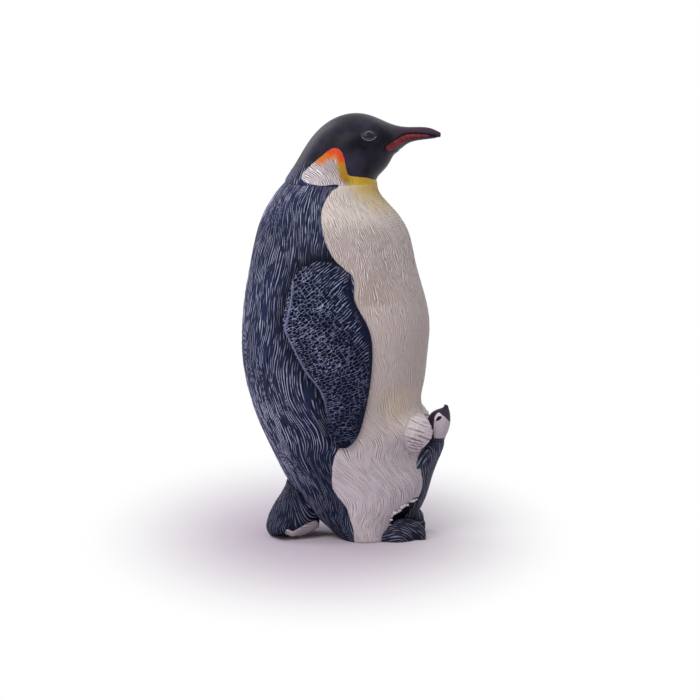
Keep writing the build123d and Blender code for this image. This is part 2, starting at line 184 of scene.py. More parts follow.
middle_depth = inside_distance(UNIT_SQUARE.mean(axis=0)[None], UNIT_SQUARE)[0]
print("middle of a unit square:", middle_depth, "inside")

# %% [markdown]
# Most pieces use these measures in one of three ways: inside an outline, along a line or
# round a spot. Bell curves and eased steps fade them out, because straight ramps would
# leave a visible crease where they start and end.

# %% Marks from the photograph
def within(spots, pixels, tree):
    """How far spots lie inside a rounded outline, negative outside it."""
    return inside_distance(spots, flowing(photo_line(pixels, tree), closed=True))


def beside(spots, pixels, tree, reach):
    """1 on a rounded line, fading out over a reach."""
    return np.exp(-(line_distance(spots, flowing(photo_line(pixels, tree))) / reach) ** 2)


def around(spots, pixel, tree, reach):
    """1 at one spot, fading out over a reach."""
    away = spots - photo_line((pixel,), tree)[0]
    return np.exp(-(away ** 2).sum(axis=1) / reach ** 2)


def eased(values, low, high):
    """0 below low, 1 above high, and smooth between."""
    share = np.clip((values - low) / (high - low), 0, 1)
    return share * share * (3 - 2 * share)


def band(values, rise, fall):
    """0, easing up to 1 over rise and down again over fall."""
    return eased(values, *rise) * (1 - eased(values, *fall))


def mixed(share, low, high):
    """From low to high by a share."""
    return low + share * (high - low)


print("a quarter of the way, eased:", eased(0.25, 0, 1))

# %% [markdown]
# ## Node helpers
# Table, air and paints are all wired from nodes. They could be put together in the node
# editor, but then this file would hold no record of them. One helper adds a node and
# fills its inputs, and the others are the sums that come up again and again.

# %% Wire nodes
def wire(tree, kind, inputs=(), **settings):
    """Adds a node, sets it up, and links or sets its inputs."""
    node = tree.nodes.new(kind)
    for key, value in settings.items():
        setattr(node, key, value)
    for key, value in dict(inputs).items():
        socket = node.inputs[key] if isinstance(key, int) else \
            next(s for s in node.inputs if s.name == key and s.enabled)
        if isinstance(value, bpy.types.NodeSocket):
            tree.links.new(value, socket)
        else:
            socket.default_value = value
    return node


def calc(tree, operation, *values):
    """One sum on one or more numbers."""
    return wire(tree, "ShaderNodeMath", dict(enumerate(values)), operation=operation).outputs[0]


def times(tree, value, share):
    """A number scaled by another."""
    return calc(tree, "MULTIPLY", value, share)


def rest(tree, share):
    """What a share leaves of 1."""
    return calc(tree, "SUBTRACT", 1.0, share)


def vector_sum(tree, operation, vector, other):
    """One sum on a vector."""
    return wire(tree, "ShaderNodeVectorMath", {0: vector, 1: other}, operation=operation).outputs[0]


def span(tree, value, low, high):
    """0 below low, 1 above high, and smooth between."""
    return wire(tree, "ShaderNodeMapRange", {"Value": value, "From Min": low, "From Max": high},
                interpolation_type="SMOOTHSTEP").outputs[0]


print("node helpers: wire, calc, times, rest, vector_sum, span")

# %% [markdown]
# Paint on the figurine was mixed by eye, so colours are written as they look, 0 to 255.
# Shaders work with linear light, in which a middle grey is only about a fifth of white.
# Colours could be written that way from the start, but few people can read such numbers,
# so a helper turns one into the other.

# %% Mix colours
WHITE = (1, 1, 1, 1)


def blend(tree, share, under, over):
    """One colour over another."""
    return wire(tree, "ShaderNodeMix", {0: share, 6: under, 7: over}, data_type="RGBA").outputs[2]


def tone(red, green, blue):
    """A paint as mixed by eye, 0 to 255, as the linear colour that shaders use."""
    lit = [c / 255 for c in (red, green, blue)]
    return tuple(c / 12.92 if c < 0.04045 else ((c + 0.055) / 1.055) ** 2.4 for c in lit) + (1,)


def new_paint(name, roughness, specular):
    """An empty paint: its material, its tree and its shader."""
    material = bpy.data.materials.new(name)
    material.use_nodes = True
    shader = material.node_tree.nodes["Principled BSDF"]
    shader.inputs["Roughness"].default_value = roughness
    shader.inputs["Specular IOR Level"].default_value = specular
    return material, material.node_tree, shader


print("middle grey, as shaders see it:", [round(c, 3) for c in tone(128, 128, 128)[:3]])

# %% [markdown]
# ## The studio
# The figurine stands on a white table that melts into a white background. Enough light on
# a plain sheet would whiten it, but would bleach the bird too. So the table is a matt
# lavender grey near the feet, where it keeps their soft shadow and deepens it into a painted
# shadow pool, and plain white further out. Only the camera and mirror-like rays see that
# white, so it does not light the bird.

# %% Lay the table
TABLE_RADIUS, TABLE_CORNERS = 1500 * MM, 96
TABLE_SHADOW_GREY = (0.50, 0.447, 0.51, 1)
TABLE_ROUGHNESS, TABLE_SPECULAR = 0.9, 0.1
SHADOW_MIDDLE, SHADOW_STRETCH = (-4 * MM, 0, 0), (1, 0.45, 1)
SHADOW_REACH = (8 * MM, 54 * MM)


def seen_directly(tree):
    """1 for the rays that show the backdrop itself: the camera's, mirrored and clear ones."""
    rays = tree.nodes.new("ShaderNodeLightPath").outputs
    mirrored = calc(tree, "MAXIMUM", rays["Is Glossy Ray"], rays["Is Transmission Ray"])
    return calc(tree, "MAXIMUM", rays["Is Camera Ray"], mirrored)


def table_finish():
    """Matt lavender grey near the feet, a painted shadow pool over their real shadow, and plain white
    further out.
    """
    material, tree, matt = new_paint("white_table", TABLE_ROUGHNESS, TABLE_SPECULAR)
    matt.inputs["Base Color"].default_value = TABLE_SHADOW_GREY
    place = tree.nodes.new("ShaderNodeTexCoord").outputs["Object"]
    centred = vector_sum(tree, "SUBTRACT", place, SHADOW_MIDDLE)
    shaped = vector_sum(tree, "MULTIPLY", centred, SHADOW_STRETCH)
    reach = wire(tree, "ShaderNodeVectorMath", {0: shaped}, operation="LENGTH").outputs["Value"]
    far = times(tree, span(tree, reach, *SHADOW_REACH), seen_directly(tree))
    glow = wire(tree, "ShaderNodeEmission", {"Color": WHITE, "Strength": 1.0})
    both = wire(tree, "ShaderNodeMixShader", {0: far, 1: matt.outputs[0], 2: glow.outputs[0]})
    tree.links.new(both.outputs[0], tree.nodes["Material Output"].inputs["Surface"])
    return material


table = bpy.data.objects.new("table", bpy.data.meshes.new("table"))
scene.collection.objects.link(table)
disc = bmesh.new()
bmesh.ops.create_circle(disc, cap_ends=True, segments=TABLE_CORNERS, radius=TABLE_RADIUS)
disc.to_mesh(table.data)
table.data.materials.append(table_finish())
print("table radius", TABLE_RADIUS, "m")

# %% [markdown]
# The air round the table works in the same way. Most rays get a dim, slightly cool light
# from it, which fills the shadows as the walls of a pale room would. A picture of a room
# could light the bird too, but plain air is even and needs no file.

# %% Fill the air
AIR_LIGHT, AIR_LEVEL = (0.97, 0.95, 1.0, 1), 0.62

air = bpy.data.worlds.new("studio_air")
air.use_nodes = True
scene.world = air
air_tree = air.node_tree
air_light = air_tree.nodes["Background"]
air_light.inputs["Color"].default_value = AIR_LIGHT
air_light.inputs["Strength"].default_value = AIR_LEVEL
air_white = wire(air_tree, "ShaderNodeBackground", {"Color": WHITE, "Strength": 1.0})
air_mix = wire(air_tree, "ShaderNodeMixShader", {
    0: seen_directly(air_tree), 1: air_light.outputs[0], 2: air_white.outputs[0]})
air_tree.links.new(air_mix.outputs[0], air_tree.nodes["World Output"].inputs["Surface"])
scene.view_settings.view_transform = "Standard"
print("air level", AIR_LEVEL)

# %% [markdown]
# Two wide soft lamps do the modelling: a key above the camera's left shoulder, which
# draws the carved strokes, and a weaker one behind the bird, which rims its back. Suns
# would be simpler, but they cast hard shadows, and the photograph has none.

# %% Hang the lamps
LAMP_AIM = Vector((0, 0, 45)) * MM
LAMPS = {
    "key_lamp": dict(place=(-330, -560, 640), side=420, power=4.6, colour=(1.0, 0.96, 0.93)),
    "rim_lamp": dict(place=(-420, 420, 420), side=380, power=1.6, colour=(0.95, 0.93, 1.0))}


def soft_lamp(name, place, side, power, colour):
    """A square lamp, place and side in millimetres, pointed at the bird."""
    lamp = bpy.data.objects.new(name, bpy.data.lights.new(name, "AREA"))
    scene.collection.objects.link(lamp)
    lamp.data.size = side * MM
    lamp.data.energy = power
    lamp.data.color = colour
    lamp.location = Vector(place) * MM
    lamp.rotation_euler = (LAMP_AIM - lamp.location).to_track_quat("-Z", "Y").to_euler()


for name, facts in LAMPS.items():
    soft_lamp(name, **facts)
print("lamps:", *LAMPS)

# %% [markdown]
# ## Carved feathers
# Nearly every piece is covered in wavering strokes, as if its wax had been scored with a
# wire. They could be modelled one by one, which is endless, or left to a bump map, which
# only shades. Here a wave across the grain makes them, pushed about by slow noise and
# switched on and off by another. Each vertex carries its "grain", its place along and
# across the strokes counted in strokes, so that one wave suits a long back and a small foot.

# %% The stroke pattern
WANDER, WANDER_SHARE = 3.4, (0.45, 0.25, 0.25)
KEPT = (0.4, 0.57)
NOISE_DETAIL, NOISE_ROUGHNESS = 1.5, 0.45


def from_plain(tree, height):
    """-1 to 1 as 0 to 1: 0 is a groove, 0.5 the plain and 1 a ridge."""
    return calc(tree, "MULTIPLY_ADD", height, 0.5, 0.5)


def seeded_noise(tree, place, seed):
    """Noise about 0.5, another one for every seed."""
    return wire(tree, "ShaderNodeTexNoise", {
        "Vector": place, "W": seed, "Scale": 1.0, "Detail": NOISE_DETAIL,
        "Roughness": NOISE_ROUGHNESS}, noise_dimensions="4D").outputs[0]


def strokes(tree, grain, seed):
    """Wavering ridges along the grain, one to each count across it, that start and stop."""
    across = wire(tree, "ShaderNodeSeparateXYZ", {0: grain}).outputs["Y"]
    slow = vector_sum(tree, "MULTIPLY", grain, WANDER_SHARE)
    wander = calc(tree, "SUBTRACT", seeded_noise(tree, slow, seed), 0.5)
    phase = calc(tree, "MULTIPLY_ADD", wander, WANDER, across)
    wave = calc(tree, "COSINE", times(tree, phase, 2 * math.pi))
    kept = span(tree, seeded_noise(tree, grain, seed), *KEPT)
    return from_plain(tree, times(tree, wave, kept))


print("strokes wander by up to", WANDER / 2, "widths")

# %% [markdown]
# On the flippers the strokes close into a net of ridges round small pits, like scales. A
# cell pattern gives such a net: its distance to the next border is small on the ridges and
# large in the pits. Modelled scales would be too regular. Stretched along the grain the
# cells line up with the strokes, and a vertex's "net" says how much of them it gets.

# %% The net pattern
PIT_SHARE, PIT_RANDOM = (1.45, 0.85, 1), 0.65
CREST, GROOVE = 0.1, 0.7
GROOVE_STARTS, GROOVE_ENDS = (0.5 * CREST, CREST + 0.2 * GROOVE), (CREST + 0.4 * GROOVE, CREST + GROOVE)


def pits(tree, grain):
    """A net of ridges, with a groove beside each ridge and a plain in every pit."""
    close = vector_sum(tree, "MULTIPLY", grain, PIT_SHARE)
    edge = wire(tree, "ShaderNodeTexVoronoi", {"Vector": close, "Scale": 1.0, "Randomness": PIT_RANDOM},
                feature="DISTANCE_TO_EDGE").outputs["Distance"]
    ridge = rest(tree, span(tree, edge, 0.0, CREST))
    groove = calc(tree, "SUBTRACT", span(tree, edge, *GROOVE_STARTS), span(tree, edge, *GROOVE_ENDS))
    return from_plain(tree, calc(tree, "SUBTRACT", ridge, groove))


def pattern(tree, grain, net, seed):
    """Strokes, or the net where net is 1."""
    scored, pitted = strokes(tree, grain, seed), pits(tree, grain)
    return wire(tree, "ShaderNodeMix", {0: net, 2: scored, 3: pitted}, data_type="FLOAT").outputs[0]


print(f"net: ridges {CREST} of a cell, grooves {GROOVE}")

# %% [markdown]
# Two things repeat on the figurine, the carving and the tufts at the hem, and a geometry
# node tree makes each of them. Loops over vertices could too, but a tree shows its inputs
# by name and can be tried with other values. Every tree here starts with such inputs and
# ends in real geometry with its paint on.

# %% Frame of a geometry tree
def named(tree, name, kind):
    """One of a piece's own numbers, inside a geometry tree."""
    node = wire(tree, "GeometryNodeInputNamedAttribute", {"Name": name}, data_type=kind)
    return next(s for s in node.outputs if s.enabled and s.name == "Attribute")


def new_tree(name, inputs):
    """An empty geometry tree with these named inputs, and its first and last node."""
    tree = bpy.data.node_groups.new(name, "GeometryNodeTree")
    for label, kind in (("Geometry", "Geometry"), *inputs):
        tree.interface.new_socket(label, in_out="INPUT", socket_type="NodeSocket" + kind)
    tree.interface.new_socket("Geometry", in_out="OUTPUT", socket_type="NodeSocketGeometry")
    return tree, tree.nodes.new("NodeGroupInput"), tree.nodes.new("NodeGroupOutput")


def close_tree(tree, geometry, finish, end):
    """Ends a tree: real geometry, painted."""
    real = wire(tree, "GeometryNodeRealizeInstances", {"Geometry": geometry})
    painted = wire(tree, "GeometryNodeSetMaterial", {"Geometry": real.outputs[0], "Material": finish})
    tree.links.new(painted.outputs[0], end.inputs[0])


print("tree helpers: named, new_tree, close_tree")

# %% [markdown]
# One rule carves every piece: each vertex moves along its normal by the pattern, times the
# piece's "lift", the depth of its strokes there. A displacement in the material would
# render the same, but the mesh itself would stay smooth.

# %% The relief tree
def relief_tree():
    """Moves each vertex along its normal by the pattern and its own lift."""
    tree, first, last = new_tree("feather_relief", (
        ("Depth", "Float"), ("Seed", "Float"), ("Finish", "Material")))
    given = first.outputs
    grain, net = named(tree, "grain", "FLOAT_VECTOR"), named(tree, "net", "FLOAT")
    depth = times(tree, named(tree, "lift", "FLOAT"), given["Depth"])
    raised = calc(tree, "SUBTRACT", pattern(tree, grain, net, given["Seed"]), 0.5)
    outward = wire(tree, "GeometryNodeInputNormal").outputs[0]
    offset = wire(tree, "ShaderNodeVectorMath", {0: outward, "Scale": times(tree, depth, raised)},
                  operation="SCALE").outputs[0]
    carved = wire(tree, "GeometryNodeSetPosition", {"Geometry": given["Geometry"], "Offset": offset})
    close_tree(tree, carved.outputs[0], given["Finish"], last)
    return tree


relief = relief_tree()
print("relief tree:", len(relief.nodes), "nodes")

# %% [markdown]
# ## Bench work
# Every piece carries its grain, lift and net on its vertices, and most carry more numbers
# for their paint. Weights or painted masks could hold them too. Plain named attributes,
# written as whole arrays, are quicker and can also hold vectors.

# %% Numbers onto vertices
def places(mesh):
    """The vertices' places as an array."""
    spots = np.empty(len(mesh.vertices) * 3)
    mesh.vertices.foreach_get("co", spots)
    return spots.reshape(-1, 3)


def move(mesh, spots):
    """Puts the vertices at these places."""
    mesh.vertices.foreach_set("co", np.asarray(spots, float).ravel())
    mesh.update()


def outwards(mesh):
    """The vertices' normals as an array."""
    return np.array([n.vector for n in mesh.vertex_normals])


def store(mesh, name, values):
    """Writes a number or a vector onto each vertex."""
    values = np.asarray(values, np.float32)
    kind, field = ("FLOAT_VECTOR", "vector") if values.ndim == 2 else ("FLOAT", "value")
    mesh.attributes.new(name, kind, "POINT").data.foreach_set(field, values.ravel())


def marked(mesh, grain, lift, net=0.0, **others):
    """Writes a piece's grain, lift and net, and whatever else its paint reads."""
    store(mesh, "grain", grain)
    for name, values in dict(lift=lift, net=net, **others).items():
        store(mesh, name, np.broadcast_to(values, len(mesh.vertices)))


def combed(along, across, aside, stroke):
    """Grain from lengths along, across and aside of the strokes; stroke is (length, width)."""
    length, width = stroke
    return np.stack([along / length, across / width, aside / length], axis=-1)


print("grain one stroke along and two across:", combed(3.0, 2.0, 0.0, (3.0, 1.0)))

# %% [markdown]
# A solid's own skin is long thin triangles, too coarse to carve. Subdividing would keep
# their uneven shape. A voxel remesh gives even little squares all over, and a few rounds
# of smoothing take its steps away. Modifiers are then turned into plain meshes.

# %% An even skin
MERGE_REACH = 0.001 * MM
SMOOTH_SHARE, SMOOTH_ROUNDS = 0.5, 3


def settle(piece):
    """Turns a piece with modifiers into a plain smooth mesh."""
    graph = bpy.context.evaluated_depsgraph_get()
    made = bpy.data.meshes.new_from_object(
        piece.evaluated_get(graph), preserve_all_data_layers=True, depsgraph=graph)
    piece.modifiers.clear()
    piece.data = made
    made.shade_smooth()


def new_piece(name, mesh):
    """A mesh as an object in the scene."""
    piece = bpy.data.objects.new(name, mesh)
    scene.collection.objects.link(piece)
    return piece


def remeshed(name, node, voxel, rounds=SMOOTH_ROUNDS):
    """A copy of a solid with even little squares for a skin, ready for carving."""
    piece = new_piece(name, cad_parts[node].data.copy())
    piece.data.materials.clear()
    skin = bmesh.new()
    skin.from_mesh(piece.data)
    bmesh.ops.remove_doubles(skin, verts=skin.verts, dist=MERGE_REACH)
    skin.to_mesh(piece.data)
    even = piece.modifiers.new("even_skin", "REMESH")
    even.mode, even.voxel_size, even.use_smooth_shade = "VOXEL", voxel, True
    round_off = piece.modifiers.new("round_off", "SMOOTH")
    round_off.factor, round_off.iterations = SMOOTH_SHARE, rounds
    settle(piece)
    return piece


print("smoothing rounds:", SMOOTH_ROUNDS)

# %% [markdown]
# The last two steps are the same for every piece: run a tree over it with its inputs set,
# and set it in place, which hangs it on the figurine and hides any solids it stands for. A
# tree's input is set by its identifier, since names may repeat.

# %% Carve and hand in
def run_tree(piece, tree, **values):
    """Runs a node tree over a piece with these inputs and keeps the plain mesh it makes."""
    modifier = piece.modifiers.new(tree.name, "NODES")
    modifier.node_group = tree
    for name, value in values.items():
        modifier[tree.interface.items_tree[name].identifier] = value
    settle(piece)


def carve(piece, finish, seed):
    """Runs the relief tree over a piece and paints it."""
    run_tree(piece, relief, Depth=1.0, Seed=seed, Finish=finish)


def hand_in(piece, slot, *nodes):
    """Rides a finished piece on the figurine and hides the solids it stands for."""
    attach(piece, "root")
    if nodes:
        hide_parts(*nodes)
    print(f"{piece.name}: {len(piece.data.vertices)} vertices")


relief_inputs = [s.name for s in relief.interface.items_tree if s.in_out == "INPUT"]
print("inputs of the relief tree:", *relief_inputs)

# %% [markdown]
# ## The trunk's skin
# The trunk is one tall casting from the floor to the collar. It could be remeshed as the
# other pieces are. But strokes run up and down it and borders run round it, so its skin
# is woven the same way: rings of columns, with each vertex found by a ray shot from
# outside towards the middle of the trunk. Every number is then a plain grid, row by column.

# %% Weave the skin
ROWS, COLUMNS = 150, 640
RAY_START = 80 * MM
FLOOR_SKIN = 0.05 * MM
AXIS_BLUR = 12
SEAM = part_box("torso")[1].z


def blurred(values, width):
    """A gentle average along the first axis, with its ends held."""
    reach = np.arange(-3 * width, 3 * width + 1)
    weights = np.exp(-0.5 * (reach / width) ** 2)
    rows = np.clip(np.arange(len(values))[:, None] + reach, 0, len(values) - 1)
    return np.tensordot(weights / weights.sum(), values[rows], axes=(0, 1))


def shot(tree, middle, way, level):
    """How far from the middle the skin lies, that way."""
    start = Vector((middle + way[0] * RAY_START, way[1] * RAY_START, level))
    hit = tree.ray_cast(start, Vector((-way[0], -way[1], 0)))[0]
    return math.hypot(hit.x - middle, hit.y) if hit else 0.0


trunk_tree = TREES["torso"]
levels = np.linspace(0, SEAM, ROWS)
shot_levels = np.clip(levels, FLOOR_SKIN, SEAM - FLOOR_SKIN)
ends = np.array([[side * shot(trunk_tree, 0, (side, 0), level) for side in (1, -1)]
                 for level in shot_levels])
axis = blurred(ends.mean(axis=1), AXIS_BLUR)
turns = np.arange(COLUMNS) * 2 * math.pi / COLUMNS
ways = np.column_stack([np.cos(turns), np.sin(turns)])
radii = np.array([[shot(trunk_tree, middle, way, level) for way in ways]
                  for level, middle in zip(shot_levels, axis)])
print(f"trunk skin {radii.shape}, radius {radii.min() / MM:.1f} to {radii.max() / MM:.1f} mm")

# %% [markdown]
# Some rays fall into the holes for other pieces' pegs. Those pieces cover the holes, so
# they may be filled. Smoothing alone would leave dents. A closing pass fills them and
# keeps the rest: each radius goes out to its widest near neighbour, then back to the
# narrowest. A light ironing takes away the small steps that this leaves.

# %% Fill the peg holes
CLOSE_ROWS, CLOSE_COLUMNS = 5, 11


def with_margin(values):
    """The rows, carried on in a straight line past both ends."""
    beyond = np.arange(1, 2 * CLOSE_ROWS + 1)[:, None]
    below = values[0] + beyond[::-1] * (values[0] - values[CLOSE_ROWS]) / CLOSE_ROWS
    above = values[-1] + beyond * (values[-1] - values[-1 - CLOSE_ROWS]) / CLOSE_ROWS
    return np.concatenate([below, values, above])


def among_neighbours(values, pick):
    """The widest or narrowest radius among near neighbours."""
    rows = np.arange(len(values))
    tall = pick([values[np.clip(rows + s, 0, len(values) - 1)]
                 for s in range(-CLOSE_ROWS, CLOSE_ROWS + 1)], axis=0)
    return pick([np.roll(tall, s, axis=1) for s in range(-CLOSE_COLUMNS, CLOSE_COLUMNS + 1)], axis=0)


def ironed(values):
    """Each radius averaged with its neighbours up, down and round."""
    wide = (np.roll(values, 1, axis=1) + 2 * values + np.roll(values, -1, axis=1)) / 4
    return blurred(wide, 1)


def laid_out():
    """The rings' x and y."""
    return axis[:, None] + radii * ways[:, 0], radii * ways[:, 1]


filled = ironed(ironed(among_neighbours(among_neighbours(with_margin(radii), np.max), np.min)))
radii = filled[2 * CLOSE_ROWS:-2 * CLOSE_ROWS]
ring_x, ring_y = laid_out()
ring_z = np.repeat(levels[:, None], COLUMNS, axis=1)
side_view = np.column_stack([ring_x.ravel(), ring_z.ravel()])
print("trunk spots", len(side_view))

# %% [markdown]
# ## Where the trunk's white begins
# The navy back meets the white front along one flowing border: in from the collar, round
# the breast, out to the flipper, down under it and along the skirt to the floor. It could
# be a change of colour alone. On the casting the white lies a little proud, as thick paint
# over a carved step does, so the skin itself moves out on the white side. The gap under the
# hem over the feet, painted dark as painted shade, and the folds of the belly are marked in
# the same way.

# %% Trunk borders from the photograph
BELLY_BORDER = (
    (341, 172), (338.5, 185), (332, 191), (326.5, 198.7), (323, 207), (321.3, 216), (322, 228),
    (326, 244), (334, 259), (344, 269), (353.5, 279), (354, 300), (352, 330), (350, 370), (348, 410),
    (344, 438), (339, 449), (334, 459), (332, 476), (334, 491), (346, 507), (350, 519), (353.5, 532),
    (355, 543), (356, 556))
FRONT_CORNERS = ((520, 556), (520, 120), (345, 120))
HEM_SHADE_OUTLINE = (
    (384, 546), (388, 529), (391, 516), (404, 506), (414, 498), (424, 494), (440, 500), (440, 546))
FOLD_OUTLINE = (
    (405, 428), (411, 416), (419, 408), (436, 410), (440, 430), (429, 447), (415, 454), (404, 446))
BELLY_STEP, BELLY_STEP_WIDTH = 0.28 * MM, 0.45 * MM


def on_rings(values):
    """A list of numbers as a grid, row by column."""
    return values.reshape(radii.shape)


steps = np.hypot(np.roll(ring_x, -1, axis=1) - ring_x, np.roll(ring_y, -1, axis=1) - ring_y)
angle = 2 * math.pi * (np.cumsum(steps, axis=1) / steps.sum(axis=1)[:, None])
belly_border = flowing(photo_line(BELLY_BORDER, trunk_tree))
front_outline = np.concatenate([belly_border, photo_line(FRONT_CORNERS, trunk_tree)])
# The outline under the hem marks the dark gap over the feet: painted shade, where the white stops.
hem_shade = on_rings(inside_distance(side_view, photo_line(HEM_SHADE_OUTLINE, trunk_tree)))
belly = np.minimum(on_rings(inside_distance(side_view, front_outline)), -hem_shade)
fold = on_rings(within(side_view, FOLD_OUTLINE, trunk_tree))
radii = radii + BELLY_STEP * eased(belly, -BELLY_STEP_WIDTH, BELLY_STEP_WIDTH) - BELLY_STEP / 2
ring_x, ring_y = laid_out()
print(f"white covers {np.mean(belly > 0):.0%} of the trunk's spots")

# %% [markdown]
# ## The trunk's strokes
# On the back the strokes run down in shallow waves, as feathers do. Texture coordinates
# from an unwrapped skin could carry them. The grid makes that simpler: grain is counted up
# the trunk in stroke lengths and round it, from the middle of the back, in stroke widths.

# %% Grain of the back
ROLL_RADIUS = 18 * MM
BACK_STROKE = (3.0 * MM, 0.58 * MM)
WAVE_LENGTH, WAVE_TURN, WAVE_SWAY, WAVE_LOBES = 7.5 * MM, 0.04, 3, 2
RIPPLE_LENGTH, RIPPLE_TURN, RIPPLE_LOBES = 0.37 * WAVE_LENGTH, 0.5 * WAVE_TURN, 5

wave = WAVE_TURN * np.sin(ring_z / WAVE_LENGTH + WAVE_SWAY * np.sin(WAVE_LOBES * angle))
wave = wave + RIPPLE_TURN * np.sin(ring_z / RIPPLE_LENGTH + RIPPLE_LOBES * angle)
from_back = (angle - math.pi + wave) * ROLL_RADIUS
back_grain = combed(ring_z, from_back, ring_y, BACK_STROKE)
print(f"strokes round the back: {np.ptp(back_grain[0, :, 1]):.0f}")

# %% [markdown]
# On the front the strokes are shorter at the breast, slant on the skirt and lie flatter on
# the folds. Lines drawn by hand could follow all that. Here a count that shifts a little
# at every level makes the slant, and tables of levels say how much. It is counted from the
# middle of the front both ways, so that the two sides mirror each other.

# %% Grain of the front
FRONT_WIDTH = 0.52 * MM
FRONT_LENGTHS = ((0, 3.6 * MM), (24 * MM, 3.8 * MM), (32 * MM, 1.9 * MM), (SEAM, 1.7 * MM))
FRONT_SLANTS = (
    (0, -0.5), (6 * MM, -0.2), (11 * MM, 0.55), (22 * MM, 0.6), (30 * MM, 0.1), (56 * MM, 0.1),
    (70 * MM, 0.4))
BELLY_SHIFT, BELLY_VARY = 37.0, 6 * MM
FOLD_STROKE, FOLD_SLANT, FOLD_SHIFT = (4.2 * MM, 0.82 * MM), 0.45, 300 * MM


def by_level(table):
    """A number for every row of the trunk, from a table of (level, number)."""
    return np.interp(levels, *zip(*table))[:, None]


row_height = levels[1] - levels[0]
from_front = (np.minimum(angle, 2 * math.pi - angle) + wave) * ROLL_RADIUS
drift = np.cumsum(by_level(FRONT_SLANTS) * row_height, axis=0)
along_front = np.cumsum(row_height / by_level(FRONT_LENGTHS), axis=0)
belly_grain = np.stack([
    np.broadcast_to(along_front, radii.shape), (from_front - drift) / FRONT_WIDTH,
    BELLY_SHIFT + ring_y / BELLY_VARY], axis=-1)
fold_grain = combed(ring_x, ring_z + FOLD_SLANT * ring_x, ring_y + FOLD_SHIFT, FOLD_STROKE)
front_grain = np.where((fold > 0)[..., None], fold_grain, belly_grain)
grain = np.where((belly > 0)[..., None], front_grain, back_grain)
print(f"strokes up the front: {along_front[-1, 0]:.0f}")

# %% [markdown]
# The back's strokes stand up as ridges and the front's are scored in, deepest on the folds
# and faint on the belly. One depth for all would look machined. So the depth is a number
# too, negative where the pattern is sunk, and it fades at the floor and the collar, where
# the trunk has to fit.

# %% Depth of the strokes
BACK_LIFT, FOLD_LIFT = 0.22 * MM, 0.32 * MM
FRONT_LIFTS = (
    (0, 0.14 * MM), (22 * MM, 0.13 * MM), (32 * MM, 0.06 * MM), (46 * MM, 0.07 * MM), (60 * MM, 0.12 * MM))
FOLD_EDGE = (-1 * MM, 1 * MM)
COLLAR_FADE, FLOOR_FADE = 1.5 * MM, 0.6 * MM

front_lift = mixed(eased(fold, *FOLD_EDGE), by_level(FRONT_LIFTS), FOLD_LIFT)
lift = np.where(belly > 0, -front_lift, BACK_LIFT)
lift = lift * eased(SEAM - ring_z, 0, COLLAR_FADE) * eased(ring_z, 0, FLOOR_FADE)
print(f"deepest strokes {np.abs(lift).max() / MM:.2f} mm")

# %% [markdown]
# ## Uneven paint and painted shade on the trunk
# The navy is not even. In the crease round the flipper it is darkened, by a wash and by
# painted shade together. It is darker down the leg and on the shoulder, and brushed lighter
# at the nape and along the lower back. These places could be painted on the skin with a
# brush. As numbers worked out from a line, a level or a side they are easy to move, and the
# same on both sides.

# %% Where the navy is brushed and shaded
CREASE_LINE = (
    (345, 268), (328, 261), (308, 266), (292, 283), (284, 329), (304, 371), (320, 394), (331, 440))
CREASE_REACH, CREASE_SHADE = 2.2 * MM, 0.75
LEG_LEVELS, LEG_SIDES, LEG_LOSS = (14 * MM, 30 * MM), (-16 * MM, -7 * MM), 0.45
SHOULDER_RISE, SHOULDER_LOSS = (55 * MM, 61 * MM), 0.22
NAPE_RISE, NAPE_GAIN = (64 * MM, 71 * MM), 0.36
SPINE_LOW, SPINE_HIGH, SPINE_TURN, SPINE_GAIN = (8 * MM, 14 * MM), (28 * MM, 36 * MM), (0.5, 1.0), 0.9

# crease_shade: a wash and painted shade along the crease round the flipper, which darken the navy there.
crease_shade = on_rings(beside(side_view, CREASE_LINE, trunk_tree, CREASE_REACH))
leg = (1 - eased(ring_z, *LEG_LEVELS)) * eased(ring_x, *LEG_SIDES)
spine = band(ring_z, SPINE_LOW, SPINE_HIGH) * (1 - eased(np.abs(angle - math.pi), *SPINE_TURN))
worn = 1 - np.maximum(CREASE_SHADE * crease_shade, LEG_LOSS * leg)
worn = worn - SHOULDER_LOSS * eased(ring_z, *SHOULDER_RISE) + NAPE_GAIN * eased(ring_z, *NAPE_RISE)
worn = worn + SPINE_GAIN * spine
print(f"brushing on the navy: {worn.min():.2f} to {worn.max():.2f}")

# %% [markdown]
# The white is tinted in the same way: yellow and cream under the chin, grey on the chest,
# beige at the flipper's edge, straw on the lower belly, and cooler on the skirt and folds.
# One noise over a single white would be quicker, but then the tints would lie anywhere.

# %% Where the white is tinted
THROAT_LEVELS, SKIRT_LEVELS = (63 * MM, 69 * MM), (16 * MM, 28 * MM)
CHEST_LOW, CHEST_HIGH, CHEST_SIDE = (52 * MM, 57 * MM), (65 * MM, 69 * MM), (8 * MM, 12 * MM)
FOLD_TINTED = (-0.8 * MM, 1.2 * MM)
BEIGE_SPOT, BEIGE_REACH = (371, 297), 4.8 * MM
BEIGE_EDGE, BEIGE_FADE = (371, 306), (-0.15 * MM, 0.25 * MM)
STRAW_SPOT, STRAW_REACH = (396, 402), 3.6 * MM
WARM_DEPTHS, WARM_SIDES, WARM_FADE = (2.4 * MM, 8.5 * MM), (-1 * MM, 8 * MM), (-2 * MM, 4 * MM)
FRONT_CONTRASTS = ((0, 0.95), (22 * MM, 0.95), (30 * MM, 0.4), (46 * MM, 0.4), (56 * MM, 1), (SEAM, 1))
FOLD_CONTRAST = 0.85
HEM_SHADE_EDGE = 0.3 * MM

